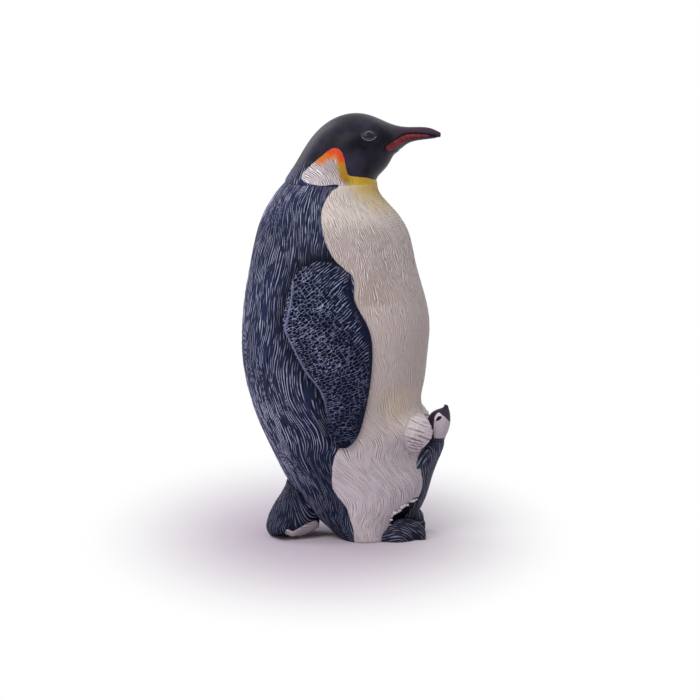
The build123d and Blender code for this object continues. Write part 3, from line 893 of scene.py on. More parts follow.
beige_floor = photo_line((BEIGE_EDGE,), trunk_tree)[0][1]
warm_depth = mixed(eased(ring_x, *WARM_SIDES), *WARM_DEPTHS)
trunk_marks = {
    "belly": belly / MM,
    "hem_shade": eased(hem_shade, 0, HEM_SHADE_EDGE),
    "worn": worn,
    "contrast": np.maximum(by_level(FRONT_CONTRASTS), FOLD_CONTRAST * eased(fold, *FOLD_EDGE)),
    "throat": eased(ring_z, *THROAT_LEVELS),
    "chest": band(ring_z, CHEST_LOW, CHEST_HIGH) * (1 - eased(ring_x, *CHEST_SIDE)),
    "skirt": 1 - eased(ring_z, *SKIRT_LEVELS),
    "fold": eased(fold, *FOLD_TINTED),
    "beige": on_rings(around(side_view, BEIGE_SPOT, trunk_tree, BEIGE_REACH))
    * eased(ring_z - beige_floor, *BEIGE_FADE),
    "straw": on_rings(around(side_view, STRAW_SPOT, trunk_tree, STRAW_REACH)),
    "warm": eased(ring_z, SEAM - warm_depth, SEAM) * eased(ring_x, *WARM_FADE)}
print("trunk marks:", *trunk_marks)

# %% [markdown]
# The rings are now sewn into one closed mesh: squares between the rings and a fan at each
# end. Bridging edge loops by hand would give the same. Two more rings go on top, just
# inside the head, so that no gap shows where the two castings meet at the collar.

# %% Sew the skin together
TUCK_ROWS, TUCK_IN = np.array((0.3, 0.7)) * MM, 0.14 * MM


def tucked_rows():
    """Two rings above the seam, just inside the head."""
    rings = []
    for level in SEAM + TUCK_ROWS:
        reach = np.array([shot(TREES["head"], axis[-1], way, level) for way in ways]) - TUCK_IN
        rings.append(np.column_stack([
            axis[-1] + reach * ways[:, 0], reach * ways[:, 1], np.full(COLUMNS, level)]))
    return np.array(rings)


def sewn(rings):
    """A closed mesh from rings of vertices, with a middle vertex at each end."""
    count, columns = rings.shape[:2]
    spots = np.concatenate([
        rings.reshape(-1, 3), rings[0].mean(axis=0)[None], rings[-1].mean(axis=0)[None]])
    here = np.arange(columns)
    following = (here + 1) % columns
    faces = [np.column_stack([r * columns + here, r * columns + following, (r + 1) * columns + following,
                              (r + 1) * columns + here]) for r in range(count - 1)]
    low, high = count * columns, count * columns + 1
    caps = [(low, int(b), int(a)) for a, b in zip(here, following)]
    caps += [(high, int(a), int(b)) for a, b in zip(here + low - columns, following + low - columns)]
    mesh = bpy.data.meshes.new("skin")
    mesh.from_pydata(spots.tolist(), [], np.concatenate(faces).tolist() + caps)
    mesh.shade_smooth()
    return mesh


def padded(values):
    """A grid continued over the tucked rings and the two middle vertices."""
    flat = np.concatenate([values, np.repeat(values[-1:], len(TUCK_ROWS), axis=0)])
    flat = flat.reshape(-1, *values.shape[2:])
    return np.concatenate([flat, flat[:1], flat[-1:]])


trunk_rings = np.concatenate([np.stack([ring_x, ring_y, ring_z], axis=-1), tucked_rows()])
torso = new_piece("painted_torso", sewn(trunk_rings))
marked(torso.data, padded(grain), padded(lift), **{name: padded(v) for name, v in trunk_marks.items()})
print("trunk skin sewn,", len(torso.data.polygons), "faces")

# %% [markdown]
# ## What a paint can read
# On a painted figurine colour follows shape: it runs into grooves and misses hollows. A
# picture wrapped round the piece could hold that. These paints need none, because they
# read the numbers on the vertices and the carved strokes themselves, and soft clouds stand
# in for the painter's uneven hand.

# %% Read a piece's own numbers
CLOUD_DETAIL = 3.0


def own(tree, name, output="Fac"):
    """One of a piece's own numbers, inside a paint."""
    return wire(tree, "ShaderNodeAttribute", attribute_name=name).outputs[output]


def carved_strokes(tree, seed):
    """The piece's carved strokes, inside a paint."""
    return strokes(tree, own(tree, "grain", "Vector"), seed)


def cloudy(tree, scale, detail=CLOUD_DETAIL):
    """Soft clouds over the piece, about 0.5 on average."""
    place = tree.nodes.new("ShaderNodeTexCoord").outputs["Object"]
    return wire(tree, "ShaderNodeTexNoise", {"Vector": place, "Scale": scale, "Detail": detail}).outputs[0]


readable = [a.name for a in torso.data.attributes if a.domain == "POINT"]
print("the trunk's paint can read:", *readable)

# %% [markdown]
# ## Dry brushing
# The painter laid on a body colour, let a dark wash settle in the grooves, and drew a
# nearly dry light brush over the top. It touches only the ridges, here more and there
# less. Curvature read off the mesh could guide such a paint. This one reads the carved
# pattern, so that light lines sit exactly on raised ones.

# %% Brush a piece
BRUSH_SCALE, BRUSH_LEAST, BRUSH_COVER = 220, 0.45, (0.35, 0.75)
GROOVE_SPAN, RIDGE_SPAN = (0.05, 0.5), (0.5, 0.95)


def dry_brushed(tree, ridge, groove, body, brushed, cover=BRUSH_COVER, worn=1.0):
    """A body colour, darker in the grooves and brushed lighter on the ridges, in patches."""
    base = blend(tree, span(tree, ridge, *GROOVE_SPAN), groove, body)
    clouds = span(tree, cloudy(tree, BRUSH_SCALE), *cover)
    patches = calc(tree, "MULTIPLY_ADD", clouds, 1 - BRUSH_LEAST, BRUSH_LEAST)
    touched = times(tree, span(tree, ridge, *RIDGE_SPAN), patches)
    return blend(tree, times(tree, touched, worn), base, brushed)


print(f"brush patches {1 / BRUSH_SCALE / MM:.1f} mm wide")

# %% [markdown]
# Light also catches what is finer than the mesh can carry: brush marks and the grain of
# the cast. A finer mesh would show them, at many times its size. A bump in the shader is
# enough, from the same pattern and fine noise, and goes on together with the colour.

# %% Lay a colour on
FINE_SCALE, FINE_DETAIL, FINE_SHARE, FINE_DEPTH = 2600, 2.0, 0.5, 0.10 * MM


def lay_on(tree, shader, colour, ridge, strength):
    """Gives a shader its colour, and lets light catch ridges finer than the mesh has."""
    tree.links.new(colour, shader.inputs["Base Color"])
    fine = calc(tree, "ADD", ridge, times(tree, cloudy(tree, FINE_SCALE, FINE_DETAIL), FINE_SHARE))
    bump = wire(tree, "ShaderNodeBump", {"Height": fine, "Strength": strength, "Distance": FINE_DEPTH})
    tree.links.new(bump.outputs[0], shader.inputs["Normal"])


print(f"fine grain {1 / FINE_SCALE / MM:.2f} mm wide")

# %% [markdown]
# Borders between two paints are sharp but not ruled: the hand shakes a little. A clean
# mask would look printed. A border is a distance here, so a little noise added to it
# before it is cut into two sides is enough.

# %% Paint borders
BORDER_WOBBLE = 0.35


def side_of(tree, border, soft):
    """0 outside a border and 1 inside it, soft over this many millimetres on both sides."""
    return span(tree, border, -soft, soft)


def shaken(tree, name, scale):
    """A border that the painter's hand has shaken."""
    shake = times(tree, calc(tree, "SUBTRACT", cloudy(tree, scale), 0.5), BORDER_WOBBLE)
    return calc(tree, "ADD", own(tree, name), shake)


print("borders shake by up to", BORDER_WOBBLE / 2, "mm")

# %% [markdown]
# ## The trunk's paint
# The back is navy, nearly black in the grooves and brushed with a pale blue-grey. One dark
# blue with a gloss would be simpler, but it is the pale brush marks that show the feathers.
# Where the brush hardly went, and in the painted shade of the crease and under the hem, the
# body colour sinks into the dark of the grooves.

# %% Navy for the back
NAVY_GROOVE, NAVY, NAVY_BRUSHED = tone(5, 8, 20), tone(35, 42, 70), tone(176, 181, 208)


def navy_back(tree, ridge):
    """Navy, dry brushed, and darkened as painted shade under the hem and in the crease."""
    worn = times(tree, rest(tree, own(tree, "hem_shade")), own(tree, "worn"))
    body = blend(tree, worn, NAVY_GROOVE, NAVY)
    return dry_brushed(tree, ridge, NAVY_GROOVE, body, NAVY_BRUSHED, worn=worn)


print("navy, as shaders see it:", [round(c, 4) for c in NAVY[:3]])

# %% [markdown]
# The front is a warm white with its tints. Its strokes are scored in, so the pattern is
# read the other way round: dark where the back would be light. Relief alone would shade the
# scores too faintly in this soft light, so the scores are painted darker, part wash and part
# painted shade, and the white between them lighter.

# %% White for the front
WHITE_SCORE, WHITE_BODY, WHITE_RIDGE = tone(128, 118, 116), tone(187, 177, 171), tone(226, 217, 211)
FRONT_TINTS = (
    ("throat", tone(204, 195, 186), 1.0), ("chest", tone(170, 160, 156), 1.0),
    ("skirt", tone(199, 191, 200), 0.8), ("fold", tone(216, 208, 214), 0.8),
    ("beige", tone(166, 152, 146), 1.0), ("straw", tone(188, 174, 140), 0.6))
CREAM, COLLAR_YELLOW = tone(206, 189, 144), tone(214, 181, 62)
WARM_TINTS = ((CREAM, (0.0, 0.6), 0.75), (COLLAR_YELLOW, (0.6, 1.0), 0.6))
SCORE_SCALE, SCORE_COVER, SCORE_PLAIN = 420, (0.2, 0.6), (0.1, 0.5)


def white_front(tree, ridge):
    """Tinted white, scored in patches, with the collar's yellow running down into it."""
    front = WHITE_BODY
    for name, colour, most in FRONT_TINTS:
        front = blend(tree, times(tree, own(tree, name), most), front, colour)
    clouds = span(tree, cloudy(tree, SCORE_SCALE), *SCORE_COVER)
    patches = times(tree, calc(tree, "MAXIMUM", clouds, own(tree, "fold")), own(tree, "contrast"))
    raised = rest(tree, span(tree, ridge, *SCORE_PLAIN))
    front = blend(tree, times(tree, raised, patches), front, WHITE_RIDGE)
    front = blend(tree, times(tree, span(tree, ridge, *RIDGE_SPAN), patches), front, WHITE_SCORE)
    for colour, reach, most in WARM_TINTS:
        front = blend(tree, times(tree, span(tree, own(tree, "warm"), *reach), most), front, colour)
    return front


print("tints on the white:", len(FRONT_TINTS) + len(WARM_TINTS))

# %% [markdown]
# Navy and white lie on one casting, with one shaken border between them. Two materials on
# one mesh could do this, but their border would follow the faces. So one paint holds both,
# and the border is cut in the shader.

# %% Mix the trunk paint
TRUNK_ROUGHNESS, TRUNK_SPECULAR, TRUNK_BUMP, TORSO_SEED = 0.5, 0.05, 0.5, 3.0
BELLY_SHAKE, BELLY_SOFT = 900, 0.08


def trunk_paint():
    """The two finishes and their border."""
    material, tree, shader = new_paint("trunk_paint", TRUNK_ROUGHNESS, TRUNK_SPECULAR)
    ridge = carved_strokes(tree, TORSO_SEED)
    white = side_of(tree, shaken(tree, "belly", BELLY_SHAKE), BELLY_SOFT)
    colour = blend(tree, white, navy_back(tree, ridge), white_front(tree, ridge))
    raised = calc(tree, "ABSOLUTE", calc(tree, "SUBTRACT", white, ridge))
    lay_on(tree, shader, colour, raised, TRUNK_BUMP)
    return material


carve(torso, trunk_paint(), TORSO_SEED)
hand_in(torso, "body_paint", "torso")

# %% [markdown]
# ## The hem's tufts
# Over the feet the white front ends in a ragged hem, dabbed on as small blobs of thick
# paint. Blobs placed by hand would do for one hem. They repeat along a line, so a geometry
# node tree sets them: points along the hem, each shifted a little by a seeded draw, and a
# small ball of its own size on every point.

# %% The tuft tree
TUFT_SIZES = ((0.3, 0.4, 0.5), (1.5, 1.0, 1.3))
TUFT_ROUNDNESS = 2


def drawn(tree, low, high, seed):
    """A seeded vector for every point."""
    node = wire(tree, "FunctionNodeRandomValue", {"Min": low, "Max": high, "Seed": seed},
                data_type="FLOAT_VECTOR")
    return next(s for s in node.outputs if s.enabled)


def tuft_tree():
    """Points along a line of edges, with a small ball on each."""
    tree, first, last = new_tree("hem_tufts", (
        ("Count", "Int"), ("Radius", "Float"), ("Scatter", "Float"), ("Seed", "Int"),
        ("Finish", "Material")))
    given = first.outputs
    line = wire(tree, "GeometryNodeMeshToCurve", {"Mesh": given["Geometry"]}).outputs[0]
    points = wire(tree, "GeometryNodeCurveToPoints", {"Curve": line, "Count": given["Count"]}).outputs[0]
    shift = drawn(tree, (-1, -1, -1), (1, 1, 1), given["Seed"])
    shift = wire(tree, "ShaderNodeVectorMath", {0: shift, "Scale": given["Scatter"]}, operation="SCALE")
    points = wire(tree, "GeometryNodeSetPosition", {"Geometry": points, "Offset": shift.outputs[0]})
    ball = wire(tree, "GeometryNodeMeshIcoSphere", {
        "Radius": given["Radius"], "Subdivisions": TUFT_ROUNDNESS})
    dabs = wire(tree, "GeometryNodeInstanceOnPoints", {
        "Points": points.outputs[0], "Instance": ball.outputs[0],
        "Scale": drawn(tree, *TUFT_SIZES, given["Seed"])})
    close_tree(tree, dabs.outputs[0], given["Finish"], last)
    return tree


tuft_setter = tuft_tree()
print("tuft tree:", len(tuft_setter.nodes), "nodes")

# %% [markdown]
# The hem's line is read off the photograph on the near side. A line for the far side could
# only be guessed, so the near one is mirrored. The lowest points are kept clear of the
# floor, so that no tuft sinks into the table.

# %% Dab the tufts
HEM_LINE = (
    (415, 498), (409, 502.5), (404, 506), (397, 511), (391.5, 516), (389.5, 522), (388, 529), (386, 536),
    (385, 541))
TUFT_COUNT, TUFT_RADIUS, TUFT_SCATTER, TUFT_SEED = 40, 0.32 * MM, 0.36 * MM, 21
TUFT_FLOOR = 0.8 * MM
TUFT_WHITE, TUFT_ROUGHNESS, TUFT_SPECULAR = tone(204, 196, 200), 0.55, 0.2
MIRRORED = (1, -1, 1)

near_hem = flowing(np.array([photo_spot(x, y, trunk_tree) for x, y in HEM_LINE]))
near_hem[:, 2] = np.maximum(near_hem[:, 2], TUFT_FLOOR)
hem_spots = np.concatenate([near_hem, near_hem * MIRRORED])
hem_edges = [(i, i + 1) for i in range(len(hem_spots) - 1) if i != len(near_hem) - 1]
hem_mesh = bpy.data.meshes.new("hem_line")
hem_mesh.from_pydata(hem_spots.tolist(), hem_edges, [])
tufts = new_piece("hem_tufts", hem_mesh)
tuft_paint, _, tuft_shader = new_paint("tuft_paint", TUFT_ROUGHNESS, TUFT_SPECULAR)
tuft_shader.inputs["Base Color"].default_value = TUFT_WHITE
run_tree(tufts, tuft_setter, Count=TUFT_COUNT, Radius=TUFT_RADIUS, Scatter=TUFT_SCATTER,
         Seed=TUFT_SEED, Finish=tuft_paint)
hand_in(tufts, "body_paint")

# %% [markdown]
# ## The head
# The head is cast by itself and plugs into the trunk. It is smooth and nearly black, and
# its bill carries a mouth line and a brick-red plate on each side. Both could be painted
# alone, but light has to catch the plate's edge. So the head gets an even skin, fine enough
# for the line to be cut into it and the plate to be raised.

# %% Head skin, mouth line and plates
HEAD_VOXEL, HEAD_ROUNDS = 0.18 * MM, 2
MOUTH_LINE = (
    (384, 149), (392, 142.4), (399, 137.6), (405.4, 134.4), (413.6, 133.4), (421.8, 133.9), (431, 135.4),
    (438, 137))
PLATE_OUTLINE = (
    (386.4, 147.6), (392, 142.8), (399.3, 138), (405.4, 134.9), (413.6, 134), (421.8, 134.4), (430, 135.6),
    (426, 136.8), (418, 137.3), (412, 138.2), (406, 141), (399.5, 145.4), (393, 149.4), (388, 150.8))
MOUTH_DEPTH, MOUTH_WIDTH = 0.24 * MM, 0.24 * MM
PLATE_RISE, PLATE_EDGE = 0.10 * MM, (-0.1 * MM, 0.15 * MM)

head = remeshed("painted_head", "head", HEAD_VOXEL, HEAD_ROUNDS)
head_tree = TREES["head"]
head_spots = places(head.data)
head_side = head_spots[:, (0, 2)]
plate = within(head_side, PLATE_OUTLINE, head_tree)
mouth_cut = MOUTH_DEPTH * beside(head_side, MOUTH_LINE, head_tree, MOUTH_WIDTH)
head_rise = PLATE_RISE * eased(plate, *PLATE_EDGE) - mouth_cut
move(head.data, head_spots + outwards(head.data) * head_rise[:, None])
print("head skin", len(head_spots), "vertices")

# %% [markdown]
# The light cheek starts as a flame at the ear and runs down into the yellow collar. Its
# strokes lie in arcs, so their grain is counted round and away from a centre behind the
# cheek. The nape has strokes like the back's, which fade out up the head. One grain for
# the whole head would be simpler, but the photograph shows both.

# %% Grain of cheek and nape
CHEEK_OUTLINE = (
    (334, 148), (340, 150), (344, 158), (346, 169), (348.5, 175), (357, 176.8), (367, 177.8), (377, 178.6),
    (392, 179), (392, 215), (345, 215), (340, 189), (337, 184.6), (320, 185.6), (304, 181.5), (302, 175),
    (308, 168), (319, 158), (328, 151))
CHEEK_CENTRE, CHEEK_STROKE = (299, 188), (1.9 * MM, 0.46 * MM)
NAPE_STROKE, NAPE_RADIUS = (2.6 * MM, 0.55 * MM), 8 * MM
CHEEK_LIFT, NAPE_LIFT = 0.18 * MM, 0.2 * MM
CHEEK_FADE, NECK_FADE = 1 * MM, 0.6 * MM
NAPE_LEVELS, NAPE_FRONT = (SEAM + 0.5 * MM, SEAM + 6 * MM), (-6 * MM, 0)

light = within(head_side, CHEEK_OUTLINE, head_tree)
from_centre = head_side - photo_line((CHEEK_CENTRE,), head_tree)[0]
fan_reach, fan_turn = np.hypot(*from_centre.T), np.arctan2(from_centre[:, 1], from_centre[:, 0])
cheek_grain = combed(fan_turn * fan_reach, fan_reach, head_spots[:, 1], CHEEK_STROKE)
head_turn = np.arctan2(head_spots[:, 1], head_spots[:, 0] - axis[-1])
nape_grain = combed(head_spots[:, 2], np.abs(head_turn) * NAPE_RADIUS, head_spots[:, 1], NAPE_STROKE)
nape = (1 - eased(head_spots[:, 2], *NAPE_LEVELS)) * (1 - eased(head_spots[:, 0], *NAPE_FRONT))
head_grain = np.where((light > 0)[:, None], cheek_grain, nape_grain)
head_lift = np.where(light > 0, CHEEK_LIFT * eased(light, 0, CHEEK_FADE), nape * NAPE_LIFT)
head_lift = head_lift * eased(head_spots[:, 2], SEAM, SEAM + NECK_FADE)
print(f"cheek and collar {np.mean(light > 0):.0%} of the head")

# %% [markdown]
# Red, orange, ochre and yellow meet on the cheek with no hard edge between them. A ramp
# along one axis could not follow the flame's bend. So the red, the orange and the whole warm
# edge each get a line from the photograph, and count for more the nearer a vertex is to it.

# %% Colour marks on the head
EAR_LINE, EAR_REACH = ((320, 158), (328, 152.5), (335, 152.5), (341.5, 155.5)), 2.0 * MM
RED_LINE, RED_REACH = ((330, 150), (336, 148.5), (341, 151.5), (343, 157)), 1.25 * MM
WARM_LINE = (
    (328, 152), (334, 149), (340, 150), (344, 158), (346, 169), (348.5, 176), (362, 179), (377, 180))
WARM_REACH, EAR_WARMTH = 2.1 * MM, 0.8
DULL_SPOT, DULL_REACH = (331, 166), 2.0 * MM
MOUTH_SHADE = 0.32 * MM
BILL_REACH, CHIN_REACH = (9 * MM, 14 * MM), (-0.2 * MM, 2 * MM)

ear_orange = beside(head_side, EAR_LINE, head_tree, EAR_REACH)
warm_edge = beside(head_side, WARM_LINE, head_tree, WARM_REACH)
marked(head.data, head_grain, head_lift, light=light / MM, plate=plate / MM, nape=nape,
       ear_orange=ear_orange, warm=np.maximum(warm_edge, EAR_WARMTH * ear_orange),
       ear_red=beside(head_side, RED_LINE, head_tree, RED_REACH),
       dull=around(head_side, DULL_SPOT, head_tree, DULL_REACH),
       mouth=beside(head_side, MOUTH_LINE, head_tree, MOUTH_SHADE),
       bill=eased(head_spots[:, 0], *BILL_REACH), chin=eased(head_spots[:, 0], *CHIN_REACH))
print(f"orange on {np.mean(ear_orange > 0.5):.1%} of the head")

# %% [markdown]
# ## The head's paint
# The head's black is not flat: a soft sheen lies on it in clouds, as on enamel that was
# brushed on. Gloss alone would show the studio's white all over it. So the sheen is mixed
# in as a colour and the gloss is kept low. Bill, nape, mouth line and plates go over it.

# %% Dark head and bill
HEAD_BLACK, HEAD_GROOVE, HEAD_SHEEN = tone(9, 9, 18), tone(7, 6, 12), tone(50, 46, 62)
SHEEN_SCALE, SHEEN_SPAN = 160, (0.3, 0.75)
BILL_BROWN, PLATE_RED, PLATE_DARK = tone(66, 48, 64), tone(138, 54, 58), tone(92, 34, 42)
PLATE_SCALE, PLATE_SPAN, PLATE_SOFT = 1400, (0.35, 0.65), 0.06


def black_sheen(tree):
    """Nearly black, with a soft sheen in clouds."""
    return blend(tree, span(tree, cloudy(tree, SHEEN_SCALE), *SHEEN_SPAN), HEAD_BLACK, HEAD_SHEEN)


def dark_head(tree, ridge):
    """Black head, brown bill with its red plates and mouth line, and the brushed nape."""
    dark = blend(tree, own(tree, "bill"), black_sheen(tree), BILL_BROWN)
    dark = blend(tree, own(tree, "nape"), dark, dry_brushed(tree, ridge, NAVY_GROOVE, NAVY, NAVY_BRUSHED))
    dark = blend(tree, own(tree, "mouth"), dark, HEAD_GROOVE)
    veined = blend(tree, span(tree, cloudy(tree, PLATE_SCALE), *PLATE_SPAN), PLATE_DARK, PLATE_RED)
    return blend(tree, side_of(tree, own(tree, "plate"), PLATE_SOFT), dark, veined)


print(f"sheen clouds {1 / SHEEN_SCALE / MM:.1f} mm wide")

# %% [markdown]
# The cheek is white on its ridges and grey in its grooves, and cream, ochre, yellow, orange
# and red lie over that. Each could be a layer with a hard edge. On the figurine they run
# into each other, so they fade in by the marks above, and the strongest comes last.

# %% Light cheek
CHEEK_GROOVE, CHEEK_WHITE, CHEEK_RIDGE = tone(96, 88, 92), tone(186, 178, 180), tone(242, 237, 240)
CHEEK_DULL, CHEEK_OCHRE = tone(152, 142, 138), tone(168, 130, 46)
EAR_ORANGE, EAR_RED = tone(200, 112, 34), tone(208, 68, 38)
DULL_MOST, CREAM_MOST = 0.7, 0.75
CHEEK_RIDGE_SPAN, WARM_SPAN = (0.5, 1.0), (0.22, 0.8)
ORANGE_SPAN, RED_SPAN = (0.1, 0.7), (0.1, 0.95)


def light_cheek(tree, ridge):
    """White strokes, then cream, ochre, yellow, orange and red along their lines."""
    cheek = blend(tree, span(tree, ridge, *GROOVE_SPAN), CHEEK_GROOVE, CHEEK_WHITE)
    cheek = blend(tree, span(tree, ridge, *CHEEK_RIDGE_SPAN), cheek, CHEEK_RIDGE)
    cheek = blend(tree, times(tree, own(tree, "dull"), DULL_MOST), cheek, CHEEK_DULL)
    cheek = blend(tree, times(tree, own(tree, "chin"), CREAM_MOST), cheek, CREAM)
    warm = blend(tree, own(tree, "chin"), CHEEK_OCHRE, COLLAR_YELLOW)
    warm = blend(tree, span(tree, own(tree, "ear_orange"), *ORANGE_SPAN), warm, EAR_ORANGE)
    cheek = blend(tree, span(tree, own(tree, "warm"), *WARM_SPAN), cheek, warm)
    return blend(tree, span(tree, own(tree, "ear_red"), *RED_SPAN), cheek, EAR_RED)


print("ear red, as shaders see it:", [round(c, 3) for c in EAR_RED[:3]])

# %% [markdown]
# Dark and light meet in a shaken border, as on the trunk. Only cheek and nape are carved,
# so the bump's strokes follow the depth of the carving. Strokes all over the head would be
# simpler, but would make its smooth black look hairy.

# %% Mix the head paint
HEAD_ROUGHNESS, HEAD_SPECULAR, HEAD_BUMP, HEAD_SEED = 0.38, 0.085, 0.25, 8.0
CHEEK_SHAKE, CHEEK_SOFT = 1100, 0.07
BUMP_LIFTS = (0.0, 0.1 * MM)


def head_paint():
    """Dark head and light cheek, with a shaken border between them."""
    material, tree, shader = new_paint("head_paint", HEAD_ROUGHNESS, HEAD_SPECULAR)
    ridge = carved_strokes(tree, HEAD_SEED)
    lit = side_of(tree, shaken(tree, "light", CHEEK_SHAKE), CHEEK_SOFT)
    colour = blend(tree, lit, dark_head(tree, ridge), light_cheek(tree, ridge))
    lay_on(tree, shader, colour, times(tree, ridge, span(tree, own(tree, "lift"), *BUMP_LIFTS)), HEAD_BUMP)
    return material


carve(head, head_paint(), HEAD_SEED)
hand_in(head, "head_paint", "head")

# %% [markdown]
# ## The eyes
# Each eye is a small black dome between two carved lids, with a fold below. It is too fine
# for the head's skin, and a finer skin all over would be wasteful. So it is a patch of its
# own: a small grid laid on the head by rays, raised by a height for the ball and for each
# lid line, sunk at its rim, and thickened into a closed shell.

# %% Eye heights
EYE_GRID, EYE_HALF = (72, 50), (2.2 * MM, 1.5 * MM)
BALL_HALF, BALL_RISE = (1.0 * MM, 0.56 * MM), 0.22 * MM
LID_LINES = ((1.12 * MM, 0.78 * MM), (1.1 * MM, -0.55 * MM), (1.7 * MM, -0.98 * MM))
LID_RISE, LID_WIDTH, LID_TAPER = 0.15 * MM, 0.13 * MM, 0.25 * MM
PATCH_SINK, PATCH_RISE, PATCH_RIM = -0.3 * MM, 0.03 * MM, 0.3

across, tall = np.meshgrid(np.linspace(-1, 1, EYE_GRID[0]), np.linspace(-1, 1, EYE_GRID[1]))
eye_x, eye_z = across.ravel() * EYE_HALF[0], tall.ravel() * EYE_HALF[1]
ball = np.sqrt(np.clip(1 - (eye_x / BALL_HALF[0]) ** 2 - (eye_z / BALL_HALF[1]) ** 2, 0, 1))
lid = np.zeros_like(eye_x)
for half, top in LID_LINES:
    bow = top * (1 - (eye_x / half) ** 2)
    lid_line = np.exp(-((eye_z - bow) / LID_WIDTH) ** 2) * eased(half - np.abs(eye_x), 0, LID_TAPER)
    lid = np.maximum(lid, lid_line)
from_rim = 1 - np.hypot(across, tall).ravel()
eye_rise = mixed(eased(from_rim, 0, PATCH_RIM), PATCH_SINK, PATCH_RISE) + BALL_RISE * ball + LID_RISE * lid
print(f"eye height {eye_rise.max() / MM:.2f} mm")

# %% [markdown]
# The same heights serve both eyes. A mirror could make the left eye from the right one. But
# the rays can just as well be shot at the head's own left side, so that the patch fits
# there too.

# %% Lay an eye
EYE_PIXEL = (369, 135.7)
PATCH_THICKNESS = 0.4 * MM
BALL_EDGE = (0.0, 0.25)


def eye_patch(name, side):
    """An eye on one side of the head; side is -1 for the right eye and 1 for the left."""
    centre = photo_spot(*EYE_PIXEL, head_tree)
    spots = []
    for x, z, up in zip(eye_x, eye_z, eye_rise):
        start = Vector((centre.x + x, side * RAY_START, centre.z + z))
        hit, normal = head_tree.ray_cast(start, Vector((0, -side, 0)))[:2]
        spots.append(hit + normal * up)
    wide, high = EYE_GRID
    faces = [(r * wide + c, r * wide + c + 1, (r + 1) * wide + c + 1, (r + 1) * wide + c)[::-side]
             for r in range(high - 1) for c in range(wide - 1)]
    mesh = bpy.data.meshes.new(name)
    mesh.from_pydata(spots, [], faces)
    store(mesh, "ball", eased(ball, *BALL_EDGE))
    store(mesh, "lid", lid)
    piece = new_piece(name, mesh)
    thick = piece.modifiers.new("thick", "SOLIDIFY")
    thick.thickness, thick.offset = PATCH_THICKNESS, -1
    settle(piece)
    return piece


print("eye patch:", EYE_GRID[0] * EYE_GRID[1], "spots before it is thickened")

# %% [markdown]
# The ball is black and glossier than the head, and the lids are brushed grey over the
# head's black. A glass shader would suit a real eye, but this one is paint.

# %% Paint the eyes
EYE_ROUGHNESS, EYE_SPECULAR = 0.3, 0.25
EYE_LID, EYE_BLACK, LID_SPAN = tone(112, 109, 124), tone(8, 8, 12), (0.35, 0.9)


def eye_paint():
    """The head's black, grey lids and a black ball."""
    material, tree, shader = new_paint("eye_paint", EYE_ROUGHNESS, EYE_SPECULAR)
    lids = blend(tree, span(tree, own(tree, "lid"), *LID_SPAN), black_sheen(tree), EYE_LID)
    tree.links.new(blend(tree, own(tree, "ball"), lids, EYE_BLACK), shader.inputs["Base Color"])
    return material


eye_finish = eye_paint()
for name, side in (("right_eye", -1), ("left_eye", 1)):
    eye = eye_patch(name, side)
    eye.data.materials.append(eye_finish)
    hand_in(eye, "head_paint")

# %% [markdown]
# ## The flippers
# A flipper is a long flat blade pressed to the trunk, with slanting strokes along its front
# and a net of pits behind and below, and a raised bead along its rear edge. The bead could
# be a thin tube laid on the blade. Raising the skin itself leaves no seam. At the shoulder
# the blade has to vanish, so its upper end is sunk under the trunk's skin.

# %% Shape of the flippers
FLIPPER_VOXEL = 0.2 * MM
REAR_EDGE = (
    (294, 275), (292.6, 285), (290.6, 305), (285, 329), (288.6, 338), (305, 370), (322, 393.5), (328, 418),
    (332.5, 437), (339, 448))
BEAD_RISE, BEAD_WIDTH, BEAD_LEVELS = 0.12 * MM, 0.16 * MM, (25 * MM, 33 * MM)
SHOULDER_LEVELS, SHOULDER_SINK = (50 * MM, 60 * MM), 0.9 * MM
OUTER_FACE = (0.0, 0.3)
near_blade = TREES["right_flipper"]


def flipper_shape(name, node, side):
    """A blade with bead and sunk shoulder, its spots before that, and two shares: bead, outer face."""
    piece = remeshed(name, node, FLIPPER_VOXEL)
    spots = places(piece.data)
    out = outwards(piece.data)
    outer = eased(out[:, 1] * side, *OUTER_FACE)
    bead = beside(spots[:, (0, 2)], REAR_EDGE, near_blade, BEAD_WIDTH) * eased(spots[:, 2], *BEAD_LEVELS)
    moved = spots + out * (BEAD_RISE * bead * outer)[:, None]
    moved[:, 1] -= side * SHOULDER_SINK * eased(spots[:, 2], *SHOULDER_LEVELS)
    move(piece.data, moved)
    return piece, spots, bead, outer


print("flipper bead", BEAD_RISE / MM, "mm high")

# %% [markdown]
# The rows of scales tilt more at the shoulder than at the tip. A curve with copies along
# it could carry them. Turning the grain by an angle that grows with height is enough, and
# the strokes turn with it.

# %% Grain of the flippers
FRONT_EDGE = (
    (350, 275), (351, 289), (352, 299), (361, 315), (370, 330), (372, 347), (373, 358), (370, 391),
    (364, 416), (359, 436), (346, 447))
ROW_TURNS, ROW_LEVELS = (math.radians(14), math.radians(40)), (26 * MM, 52 * MM)
ROW_MIDDLE = np.array((-2, 44)) * MM
STROKED, STROKED_SLOPE, NET_SHARES = (-1 * MM, 5 * MM), 0.6, (0.6, 0.1)
FLIPPER_STROKE, FLIPPER_LIFT, SIDE_SHIFT = (1.5 * MM, 0.52 * MM), 0.24 * MM, 3.0
LIFT_FADE, PLAIN_EDGE = (0.3 * MM, 1.2 * MM), (0.3 * MM, 1.6 * MM)
BRUSHING_LEVELS, BRUSHING_SHARES = (24 * MM, 44 * MM), (0.42, 1.0)


